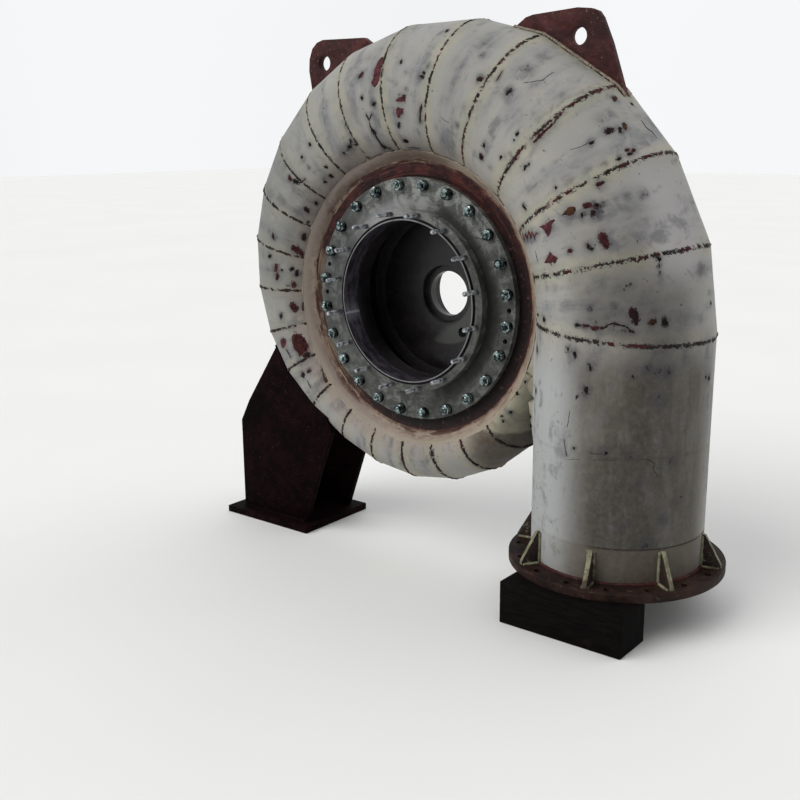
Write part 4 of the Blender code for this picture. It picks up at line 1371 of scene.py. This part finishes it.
def outline_of(spot):
    """Fourteen or more uneven outline pixels round a spot."""
    px, py, wide, tall, turn = spot
    count = 14 if max(wide, tall) < 10 else 22
    size = 1 + 0.22 * dice.standard_normal(count)
    size = np.clip((size + np.roll(size, 1) * 0.5) / 1.5, 0.6, 1.35)
    turn = math.radians(turn)
    outline = []
    for i in range(count):
        angle = 2 * math.pi * i / count
        a, b = wide / 2 * size[i] * math.cos(angle), tall / 2 * size[i] * math.sin(angle)
        outline.append((px + a * math.cos(turn) - b * math.sin(turn),
                        py + a * math.sin(turn) + b * math.cos(turn)))
    return outline


def fine_outline(corners):
    """A drawn outline with two uneven points added on every side."""
    outline = []
    for first, second in zip(corners, corners[1:] + corners[:1]):
        for share in (0, 1 / 3, 2 / 3):
            jitter = dice.uniform(-0.5, 0.5, 2)
            outline.append(tuple(a + (b - a) * share + j
                                 for a, b, j in zip(first, second, jitter)))
    return outline


print("soft spots found on the skin:", sum(found is not None for found, *_ in smudges))

# %% Let the spots into the skin
LENS_ROWS = ((0.4, 0.0005), (0.70, 0.00035), (0.80, -0.0006), (0.5, -0.0014))
WHOLE = 1.27
STRIDE = 1.6
stains = []


def lens(store, outline, reach=1.0):
    """A closed thin lens under an outline of pixels, its rim sunk into the skin."""
    px = sum(p[0] for p in outline) / len(outline)
    py = sum(p[1] for p in outline) / len(outline)
    middle = touch(px, py)
    if middle is None:
        return
    count = len(outline)
    points, faces = store
    first = len(points)
    for share, lift in LENS_ROWS:
        for qx, qy in outline:
            point, normal = touch(px + (qx - px) * share * reach,
                                  py + (qy - py) * share * reach, middle)
            points.append(point + normal * lift)
    points.append(middle[0] + middle[1] * LENS_ROWS[0][1])
    points.append(middle[0] + middle[1] * LENS_ROWS[-1][1])
    top, low = len(points) - 2, len(points) - 1
    for i in range(count):
        j = (i + 1) % count
        faces.append((first + i, first + j, top))
        for k in range(3):
            a, b = first + k * count, first + (k + 1) * count
            faces.append((a + i, b + i, b + j, a + j))
        faces.append((first + 3 * count + j, first + 3 * count + i, low))
    gaps = sorted((Vector(p) - Vector((px, py))).length for p in outline)
    smudges.append((middle, min(9.0, gaps[count // 2] * 2.2), 0.60))
    tip = max(outline, key=lambda p: (Vector(p) - Vector((px, py))).length)
    for share in (-0.45, 0.0, 0.45):
        q = Vector((px, py)).lerp(Vector(tip), share)
        stains.append((touch(q.x, q.y, middle), max(gaps[len(gaps) // 3], 1.6) * 1.25, 0.95))


def stroke(store, width, path):
    """A closed thin ribbon along a path of pixels."""
    pixels = []
    for first, second in zip(path, path[1:]):
        a, b = Vector(first), Vector(second)
        steps = max(2, round((b - a).length / STRIDE))
        pixels += [a.lerp(b, i / steps) for i in range(steps)]
    pixels.append(Vector(path[-1]))
    points, faces = store
    first = len(points)
    pixels = [spot for spot in pixels if touch(*spot)]
    if len(pixels) < 2:
        return
    middle = None
    for i, spot in enumerate(pixels):
        middle = touch(*spot, middle)
        along = pixels[min(i + 1, len(pixels) - 1)] - pixels[max(i - 1, 0)]
        side = Vector((-along.y, along.x)).normalized()
        ends = min(1.0, 0.25 + min(i, len(pixels) - 1 - i) * 0.45)
        half = side * width / 2 * ends * dice.uniform(0.65, 1.25)
        spot = spot + side * width * dice.uniform(-0.12, 0.12)
        for q, lift in ((spot - half, -0.0005), (spot, 0.0005), (spot + half, -0.0005),
                        (spot, -0.0015)):
            point, normal = touch(q.x, q.y, middle)
            points.append(point + normal * lift)
        if i % 2 == 1 and width > 1.6:
            smudges.append((touch(spot.x, spot.y, middle), width * 1.7, 0.5))
            stains.append((touch(spot.x, spot.y, middle), width * 0.75, 0.85))
    for i in range(len(pixels) - 1):
        for k in range(4):
            a, b = first + 4 * i + k, first + 4 * i + (k + 1) % 4
            faces.append((a, a + 4, b + 4, b))
    last = first + 4 * (len(pixels) - 1)
    faces.append((first, first + 1, first + 2, first + 3))
    faces.append((last + 3, last + 2, last + 1, last))


def bare_recipe(first, second, rust, specks):
    """Two tones of bare primer or scale, with some ochre rust, dark specks and pale flecks of
    painted sheen over them.
    """
    def recipe(pen, place):
        patch = place.noise(60.0, 4, 0.6, 0.6)
        fine = place.noise(210.0, 3, 0.6)
        colour = pen.mix(patch.ramp(0.36, 0.64), first, second)
        colour = pen.mix(place.noise(11.0, 2, 0.5).ramp(0.58, 0.62) * rust, colour,
                         paint(70, 44, 24))
        colour = pen.mix(place.noise(120.0, 4, 0.7).ramp(0.54, 0.64) * specks, colour,
                         paint(22, 14, 14))
        # pale flecks: painted sheen
        colour = pen.mix(fine.ramp(0.60, 0.72) * 0.22, colour, paint(90, 78, 74))
        return colour, 0.55 + 0.3 * patch, patch + fine * 0.4
    return recipe


# %% Make the spots
bare_red, bare_deep, bare_dark, bare_fresh, bare_rust = (
    finish(name, bare_recipe(paint(*first), paint(*second), rust, specks), gloss=0.1)
    for name, first, second, rust, specks in (
        ("bare_primer", (66, 26, 28), (38, 16, 18), 0.6, 0.8),
        ("bare_deep_primer", (38, 18, 21), (22, 12, 14), 0.3, 0.8),
        ("bare_scale", (20, 16, 15), (9, 8, 8), 0.0, 0.8),
        ("bare_fresh_primer", (88, 46, 49), (58, 30, 34), 0.0, 0.5),
        ("bare_rust", (70, 44, 28), (44, 27, 19), 0.25, 0.6)))
stain_sets = {}
for label, spots, patches, strokes, material in (
        ("bare_red_spots", RED_SPOTS, RED_PATCHES, RED_STROKES, bare_red),
        ("bare_deep_spots", DEEP_SPOTS, DEEP_PATCHES, (), bare_deep),
        ("bare_dark_spots", DARK_SPOTS, (), DARK_STROKES, bare_dark),
        ("bare_fresh_spots", (), FRESH_PATCHES, FRESH_STROKES, bare_fresh),
        ("bare_rust_spots", (), RUST_PATCHES, (), bare_rust)):
    store = ([], [])
    for spot in spots:
        lens(store, outline_of(spot))
    for corners in patches:
        lens(store, fine_outline(corners), WHOLE)
    for width, *path in strokes:
        stroke(store, width, path)
    mesh = bpy.data.meshes.new(label)
    mesh.from_pydata([tuple(p) for p in store[0]], [], store[1])
    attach(add_piece(label, tidy(mesh, merge=0.0000001, sharp=180), material), "root")
    stain_sets[label] = stains[:]
    stains.clear()
    print(label, len(mesh.polygons), "faces")

# %% [markdown]
# ## Marks carried by the mesh
# A soft mark is no shape, only a number at each point of the skin: how strongly it covers
# there. It falls off like a bell round the mark's middle. The lugs are welded on as well,
# so the distance to their feet is merged into the distance to the nearest seam.
# %% Soft marks on the skin
LUG_SPANS = ((19.5, 46.8), (-39.8, -17.5))


def spread_out(points, marks):
    """How strongly soft round marks cover each point, from 0 to 1."""
    cover = np.zeros(len(points))
    for found, width, weight in marks:
        if found is None:
            continue
        size = width * (found[0] - EYE).length / FOCAL_PIXELS
        gap = ((points - np.array(found[0])) ** 2).sum(1) / (size * size)
        cover = np.maximum(cover, weight * np.exp(-gap * 1.1))
    return cover.astype(np.float32)


def weakened(marks, factor):
    """The same marks with less weight."""
    return [(found, width, weight * factor) for found, width, weight in marks]


deep = weakened(stain_sets["bare_deep_spots"], 0.85)
faint = weakened(stain_sets["bare_fresh_spots"] + stain_sets["bare_rust_spots"], 0.55)
attribute_marks = {"soot": smudges,
                   "red_stain": stain_sets["bare_red_spots"] + deep + faint,
                   "dark_stain": stain_sets["bare_dark_spots"] + deep}
for part in skin_parts:
    points = np.array([vertex.co for vertex in part.data.vertices])
    for label, marks in attribute_marks.items():
        made = part.data.attributes.new(label, "FLOAT", "POINT")
        made.data.foreach_set("value", spread_out(points, marks))
    turned = points - np.array(AXIS)
    theta = np.degrees(np.arctan2(turned[:, 0], turned[:, 2]))
    radius = np.hypot(turned[:, 0], turned[:, 2])
    for low, high in LUG_SPANS:
        past = np.maximum(0, np.maximum(low - theta, theta - high)) * np.pi / 180 * radius
        aside = np.maximum(0, np.abs(turned[:, 1] - Y_MID) - 0.018)
        lug = np.where(radius > 0.75, np.hypot(past, aside), 1.0)
        held = part.data.attributes["seam_gap"].data
        gap = np.empty(len(points), dtype=np.float32)
        held.foreach_get("value", gap)
        held.foreach_set("value", np.minimum(gap, lug).astype(np.float32))
print("smudges:", len(smudges))

# %% [markdown]
# ## Primer
# The flange, lugs and foot still wear red oxide primer, dirty and scuffed to near black.
# Edges that were ground or knocked show a lighter tan. The recipe is used on all of them,
# so the whole casing looks as if it came from one paint shop.
# %% Primer recipe
def primer_recipe(light, dark, dirt, scuffs):
    """Two reds, the dirt over them, and how much of the paint is scuffed to tan."""
    def recipe(pen, place):
        cloud = place.noise(5.0, 4, 0.6)
        patch = place.noise(21.0, 5, 0.70, 0.9)
        fine = place.noise(90.0, 4, 0.68)
        colour = pen.mix(patch.ramp(0.36, 0.64), light, dark)
        colour = pen.mix(cloud.ramp(0.48, 0.66) * 0.8, colour, dirt)
        colour = pen.mix(fine.ramp(0.61, 0.70) * scuffs, colour, paint(148, 112, 98))
        scuff = place.stretch(1, 1, 5).noise(26.0, 4, 0.7, 1.2).ramp(0.63, 0.70)
        colour = pen.mix(scuff * scuffs, colour, paint(120, 92, 82))
        return colour, 0.5 + 0.3 * patch, patch * 0.7 + fine * 0.4
    return recipe


primer, dirty_primer, flange_primer = (
    finish(name, primer_recipe(paint(*light), paint(*dark), paint(*dirt), scuffs),
           bump_depth=0.0014, gloss=gloss)
    for name, light, dark, dirt, scuffs, gloss in (
        ("red_oxide_primer", (78, 39, 38), (50, 25, 25), (44, 23, 24), 0.5, 0.15),
        ("dirty_primer", (24, 10, 12), (12, 6, 7), (7, 5, 6), 0.08, 0.02),
        ("flange_primer", (50, 32, 26), (28, 18, 15), (18, 12, 10), 0.30, 0.15)))

# %% [markdown]
# ## The inlet flange
# It is a flat ring with sixteen bolt holes. The ring is swept as the covers are, and its
# holes are cut by one set of upright rods, because a real drill leaves a sharp round edge.
# %% Flange
BORE, FLANGE_RADIUS, FLANGE_LOW = 0.253, 0.335, -0.780
HOLES, HOLE_CIRCLE, HOLE_RADIUS = 16, 0.304, 0.0105
flange = sweep("pipe_flange", soften([(BORE, FLANGE_LOW), (FLANGE_RADIUS, FLANGE_LOW),
                                      (FLANGE_RADIUS, Z_FLANGE), (BORE, Z_FLANGE)], EASED),
               flange_primer, PIPE_STEPS, CENTRE)
turns = [math.radians(360 / HOLES * k) for k in range(HOLES)]
holes = [(X_PIPE + HOLE_CIRCLE * math.cos(turn), Y_MID + HOLE_CIRCLE * math.sin(turn),
          HOLE_RADIUS) for turn in turns]
cut_by(flange, rods("hole_cutters", holes, FLANGE_LOW - 0.02, Z_FLANGE + 0.02, "Z"))
tidy(flange.data)
stand_for(flange, "inlet_flange")
print("flange:", len(flange.data.polygons), "faces,", len(holes), "holes")


# %% [markdown]
# ## Flat plates
# Lugs, ribs, webs and base are flat plates whose solids already have the right outline. A
# copy of each is merged, its flat faces are joined again, and a narrow bevel rounds the
# edges. The solid itself stays untouched.
# %% Bevelled copies
def dressed(name, nodes, material, width=0.0015):
    """A bevelled copy of some CAD nodes, as one piece that stands for them."""
    work = bmesh.new()
    for node in nodes:
        work.from_mesh(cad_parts[node].data)
    bmesh.ops.remove_doubles(work, verts=work.verts, dist=0.00002)
    bmesh.ops.dissolve_limit(work, angle_limit=math.radians(1.0), verts=work.verts,
                             edges=work.edges)
    mesh = bpy.data.meshes.new(name)
    work.to_mesh(mesh)
    work.free()
    piece = add_piece(name, mesh, material)
    bevel = piece.modifiers.new("edge", "BEVEL")
    bevel.width = width
    bevel.segments = 2
    bevel.limit_method = "ANGLE"
    bevel.angle_limit = math.radians(35)
    settle(piece)
    smooth(piece.data, 30)
    stand_for(piece, *nodes)
    print(name, len(piece.data.polygons), "faces")
    return piece


dressed("lug_right", ["lifting_lug_right"], primer, 0.0018)
dressed("lug_left", ["lifting_lug_left"], primer, 0.0018)
dressed("foot_weldment", ["foot_web_front", "foot_web_rear", "foot_side_plate",
                          "foot_base_plate"], dirty_primer)

# %% [markdown]
# ## Ribs and packing blocks
# The ribs carry cream filler on their edges, while their broad sides take dark patches of
# painted shade. The mesh says which faces are broad with an attribute, found from their
# normals. The blocks are stained timber, so their grain is noise drawn out along one
# direction. Their near black is partly painted shade.
# %% Ribs
def rib_recipe(pen, place):
    cloud = place.noise(9.0, 4, 0.6)
    patch = place.noise(30.0, 5, 0.68, 0.9)
    fine = place.noise(120.0, 3, 0.6)
    broad = pen.attribute("broad_face")
    colour = pen.mix(patch.ramp(0.38, 0.62), paint(132, 130, 106), paint(92, 90, 70))
    colour = pen.mix(cloud.ramp(0.50, 0.60) * 0.85, colour, paint(56, 38, 30))
    # dark patches on the broad faces: painted shade
    bare = broad * (patch * 1.6 - 0.3).ramp(0.10, 0.40)
    colour = pen.mix(bare, colour, pen.mix(fine.ramp(0.4, 0.6), paint(44, 27, 23),
                                           paint(28, 18, 16)))
    return colour, 0.6 + 0.2 * patch, patch + fine * 0.3


rib_finish = finish("cream_filler", rib_recipe, bump_depth=0.0016, gloss=0.35)
ribs = dressed("flange_ribs", [f"inlet_gusset_{k}" for k in range(1, 9)], rib_finish, 0.001)
broad_face = []
for polygon in ribs.data.polygons:
    out_way = polygon.center - at(*CENTRE, 0)
    out_way = Vector((out_way.x, out_way.y, 0)).normalized()
    across_rib = Vector((-out_way.y, out_way.x, 0))
    broad_face.append(1.0 if abs(polygon.normal.dot(across_rib)) > 0.9 else 0.0)
ribs.data.attributes.new("broad_face", "FLOAT", "FACE").data.foreach_set("value", broad_face)
print("broad rib faces:", int(sum(broad_face)))


# %% Packing blocks
def timber_recipe(pen, place):
    grain = place.stretch(1.5, 14, 14).noise(9.0, 5, 0.6, 0.4)
    patch = place.noise(13.0, 4, 0.6)
    # near black: dark stained wood and the painted shade the blocks stand in
    colour = pen.mix(grain.ramp(0.38, 0.64), paint(6, 5, 5), paint(16, 13, 12))
    colour = pen.mix(patch.ramp(0.58, 0.70) * 0.5, colour, paint(28, 24, 22))
    return colour, 0.7 + 0.2 * grain, grain * 1.0 + patch * 0.4


timber = finish("stained_timber", timber_recipe, bump_depth=0.002, gloss=0.05)
dressed("packing_blocks", ["packing_block_front", "packing_block_rear"], timber, 0.004)

# %% [markdown]
# ## Weld beads
# Every seam is a fillet of weld metal that the filler left bare: a dark, ragged, slightly
# proud line. A bead follows a path, so it is a tree too. The path is sampled evenly, a round
# profile is swept along it, and noise eats at its edges. One mesh holds the paths of all
# seams, so one object grows all the beads.
# %% Tree for a bead
bead_tree, pen, given, bead_keys = new_tree("weld_bead", (
    ("Bead radius", FLOAT, 0.007), ("Pitch", FLOAT, 0.005), ("Raggedness", FLOAT, 0.0035),
    ("Gap depth", FLOAT, 0.0), ("Seed", FLOAT, 1.0), ("Finish", FINISH, None)))
path = pen.node("GeometryNodeMeshToCurve", None, {0: given["Geometry"]})
path = pen.node("GeometryNodeResampleCurve", {"mode": "LENGTH"}, {
    "Curve": path, "Length": given["Pitch"]})
round_profile = pen.node("GeometryNodeCurvePrimitiveCircle", None, {
    "Resolution": 8, "Radius": given["Bead radius"]})
bead = pen.node("GeometryNodeCurveToMesh", None, {
    "Curve": path, "Profile Curve": round_profile, "Fill Caps": True})
coarse = seeded_noise(pen, given["Seed"], 34.0, 3.0)
fine = seeded_noise(pen, given["Seed"] + 7, 150.0, 2.0)
shift = (coarse - 0.50) * 2 * given["Raggedness"] + (fine - 0.5) * 2 * given["Raggedness"]
gap = pen.node("GeometryNodeInputPosition").noise(GAP_SCALE, 1, 0.5).ramp(0.57, 0.63)
shift = shift - gap * given["Gap depth"]
close_tree(pen, push_out(pen, bead, shift), given["Finish"])
print("bead tree:", len(bead_tree.nodes), "nodes")


def beads(name, paths, material, radius, pitch, ragged, seed, gap=0.0):
    """Beads along paths, each a list of points, closed where its ends meet."""
    points, edges = [], []
    for path in paths:
        closed = (path[0] - path[-1]).length < 1e-6
        first = len(points)
        points += path[:-1] if closed else path
        last = len(points)
        edges += [(i, i + 1) for i in range(first, last - 1)]
        if closed:
            edges.append((last - 1, first))
    mesh = bpy.data.meshes.new(name + "_paths")
    mesh.from_pydata(points, edges, [])
    piece = grow(name, bead_tree, bead_keys, {
        "Bead radius": radius, "Pitch": pitch, "Raggedness": ragged, "Seed": seed,
        "Gap depth": gap, "Finish": material}, mesh)
    tidy(piece.data, sharp=60)
    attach(piece, "root")
    print(name, len(paths), "paths,", len(piece.data.polygons), "faces")


# %% Weld finish
def weld_recipe(pen, place):
    patch = place.noise(40.0, 4, 0.6, 0.5)
    fine = place.noise(160.0, 4, 0.65)
    colour = pen.mix(patch.ramp(0.40, 0.62), paint(18, 14, 11), paint(32, 22, 17))
    left = place.parts()[0].ramp(AXIS.x - 0.20, AXIS.x - 0.42)
    colour = pen.mix(place.noise(7.0, 2, 0.5).ramp(0.49, 0.55) * (1 - 0.8 * left), colour,
                     paint(58, 17, 18))
    colour = pen.mix(fine.ramp(0.63, 0.70) * 0.4, colour, paint(120, 112, 98))
    return colour, 0.5 + 0.3 * fine, patch * 0.5 + fine * 0.5


weld = finish("bare_weld", weld_recipe, bump_depth=0.001, gloss=0.2)


# %% Seam beads
def seam_path(theta, lift):
    """Points over the shell along one seam plane, from the front ring to the back ring."""
    across = section(theta)[1]
    start = math.pi - math.asin(HALF_WIDTH / across)
    return [on_shell(theta, -start + 2 * start * i / 90, lift) for i in range(91)]


wide = [seam_path(theta, -0.0054) for theta in SEAMS[:6]]
thin = [seam_path(theta, -0.0046) for theta in SEAMS[6:10]]
proud = [seam_path(theta, -0.0044) for theta in SEAMS[10:-1]]
beads("wide_seam_beads", wide + proud, weld, 0.0064, 0.0045, 0.0052, 1.0, 0.004)
beads("thin_seam_beads", thin, weld, 0.0052, 0.0045, 0.0050, 2.0, 0.004)

# %% [markdown]
# ## Fillet welds under the filler
# Lugs, ribs and foot are welded on all round, and the same filler was drawn into those
# corners. Each path is the corner line itself, a millimetre or two off both faces, so the
# bead fills the corner as a real fillet does. A path beside the foot follows the shell: its
# turn round the section is the one that gives the web's depth.
# %% Corner finish
def corner_recipe(pen, place):
    cloud = place.noise(8.0, 4, 0.6)
    patch = place.noise(34.0, 5, 0.68, 0.8)
    fine = place.noise(130.0, 3, 0.65)
    colour = pen.mix(patch.ramp(0.38, 0.62), paint(140, 130, 114), paint(110, 100, 88))
    colour = pen.mix(fine.ramp(0.55, 0.64) * cloud.ramp(0.36, 0.50) * 0.9, colour,
                     paint(58, 44, 34))
    return colour, 0.6 + 0.2 * fine, patch + fine * 0.4


corner = finish("filled_corner", corner_recipe, bump_depth=0.0012, gloss=0.35)
OFF = 0.0015

# %% Fillets at the lugs
LUG_HALF = 0.0125
lug_paths, lug_lines = [], []
for low, high in LUG_SPANS:
    for side in (-1, 1):
        for aside, store, lift in ((LUG_HALF + 0.002, lug_paths, OFF),
                                   (LUG_HALF + 0.0075, lug_lines, -0.0022)):
            path = []
            for i in range(41):
                theta = low + (high - low) * i / 40
                across = section(theta)[1]
                path.append(on_shell(theta, side * math.asin(aside / across), lift))
            store.append(path)
beads("lug_corners", lug_paths, corner, 0.0058, 0.004, 0.0016, 3.0)
beads("lug_weld_lines", lug_lines, weld, 0.0038, 0.004, 0.0036, 4.0, 0.003)

# %% Fillets at the ribs and the flange
FIRST_RIB, RIB_HALF, RIB_TOP, RIB_HEIGHT = 11.25, 0.0085, -0.655, 0.097
rib_paths = []
for k in range(8):
    turn = math.radians(FIRST_RIB + 45 * k)
    ahead = Vector((math.cos(turn), math.sin(turn), 0))
    aside = Vector((-ahead.y, ahead.x, 0))
    for side in (-RIB_HALF, RIB_HALF):
        upright = [at(*CENTRE, RIB_TOP - RIB_HEIGHT * i / 20) + ahead * (RHO_INLET + OFF)
                   + aside * side for i in range(21)]
        outward = [at(*CENTRE, Z_FLANGE + OFF) + ahead * (RHO_INLET + 0.003 * i)
                   + aside * side for i in range(20)]
        rib_paths += [upright, outward]
beads("rib_corners", rib_paths, rib_finish, 0.0050, 0.004, 0.0016, 5.0)
collar_path = []
for i in range(241):
    turn = 2 * math.pi * (i % 240) / 240
    collar_path.append(at(X_PIPE + (RHO_INLET + OFF) * math.cos(turn),
                          Y_MID + (RHO_INLET + OFF) * math.sin(turn), Z_FLANGE + OFF))
beads("flange_corner", [collar_path], primer, 0.0056, 0.004, 0.0022, 8.0)

# %% Fillets at the foot
BASE_TOP = -0.915 + 0.025
WEB_FACES = ((0.010, 0.030), (0.248, 0.268))
WEB_LEFT, WEB_LENGTH = -0.845, 0.320
WEB_FROM, WEB_TURN = -109.0, -31.0
SIDE_FACES, SIDE_HEIGHT = (-0.852, -0.828), 0.320
foot_paths = []
for low, high in WEB_FACES:
    for depth in (low - 0.002, high + 0.002):
        foot_paths.append([at(WEB_LEFT + WEB_LENGTH * i / 40, depth, BASE_TOP + OFF)
                           for i in range(41)])
        path = []
        for i in range(61):
            theta = WEB_FROM + WEB_TURN * i / 60
            across = section(theta)[1]
            path.append(on_shell(theta, math.asin((depth - Y_MID) / across), OFF))
        foot_paths.append(path)
near, far = WEB_FACES[0][1] + 0.002, WEB_FACES[1][0] - 0.002
for x in SIDE_FACES:
    foot_paths.append([at(x, near + (far - near) * i / 20, BASE_TOP + OFF)
                       for i in range(21)])
for depth in (near, far):
    foot_paths.append([at(SIDE_FACES[1], depth, BASE_TOP + SIDE_HEIGHT * i / 30)
                       for i in range(31)])
beads("foot_corners", foot_paths, dirty_primer, 0.0052, 0.005, 0.0016, 6.0)

# %% Joint between the ring and the shell
ring_paths = []
for sunk, depth, start, end in (
        (-0.0010, rim + 0.0005, 93.0, -12.0), (0.0026, rim + 0.0026, -12.0, -247.5),
        (-0.0010, 2 * Y_MID - rim - 0.0005, 93.0, -247.5)):
    ring_paths.append([polar(start + (end - start) * i / 240, R_SCROLL + sunk, depth)
                       for i in range(241)])
beads("ring_corners", ring_paths, ring_finish, 0.0042, 0.005, 0.0026, 7.0)

# %% [markdown]
# ## Floor and light
# The casing stands on a plain pale floor under soft light. A wide sun from high on the left
# gives the bright left side of the inlet pipe and its dark right side, as in the
# photograph, helped by painted light and shade in the filler, and the pale surroundings
# fill the shadows. The plain view transform keeps pale greys pale and near-blacks black,
# as the photograph has them.
# %% Floor
def floor_recipe(pen, place):
    fine = place.noise(30.0, 4, 0.6)
    cloud = place.noise(0.8, 3, 0.5)
    colour = pen.mix(cloud, paint(226, 226, 224), paint(219, 219, 217))
    return colour, 0.7 + 0.2 * fine, fine * 0.2


FLOOR = 40
floor_mesh = bpy.data.meshes.new("floor")
floor_mesh.from_pydata([(-FLOOR, -FLOOR, 0), (FLOOR, -FLOOR, 0), (FLOOR, FLOOR, 0),
                        (-FLOOR, FLOOR, 0)], [], [(0, 1, 2, 3)])
floor_mesh.materials.append(finish("pale_floor", floor_recipe))
floor = bpy.data.objects.new("floor", floor_mesh)
bpy.context.scene.collection.objects.link(floor)

# %% Lights
bpy.context.scene.view_settings.view_transform = "Standard"
world = bpy.data.worlds.new("pale_room")
world.use_nodes = True
world.node_tree.nodes.clear()
pen = Wire(world.node_tree)
across, deep, up = pen.node("ShaderNodeTexCoord", out="Generated").parts()
glow = (0.16 + 0.40 * across.ramp(0.35, -0.85) + 0.38 * deep.ramp(0.0, 0.6)
        + 0.40 * (across + deep).ramp(0.5, 1.2) + 0.10 * up.ramp(0.0, 0.9)
        + 0.13 * across.ramp(-0.64, -0.38) * deep.ramp(0.72, 0.88))
sky = pen.node("ShaderNodeBackground", None, {"Color": (0.98, 0.99, 1.0, 1.0),
                                              "Strength": glow})
pen.node("ShaderNodeOutputWorld", None, {0: sky})
bpy.context.scene.world = world


def soft_sun(name, spot, strength, spread, colour):
    """Light that comes from one side everywhere alike, soft as from a wide window."""
    light = bpy.data.lights.new(name, "SUN")
    light.energy = strength
    light.angle = math.radians(spread)
    light.color = colour
    lamp = bpy.data.objects.new(name, light)
    lamp.rotation_euler = Vector(spot).to_track_quat("Z", "Y").to_euler()
    bpy.context.scene.collection.objects.link(lamp)


soft_sun("window_light", (-1.7, -3.1, 3.2), 2.1, 50, (1.0, 0.99, 0.97))
soft_sun("roof_light", (0.6, 0.8, 3.0), 0.7, 70, (0.97, 0.99, 1.0))
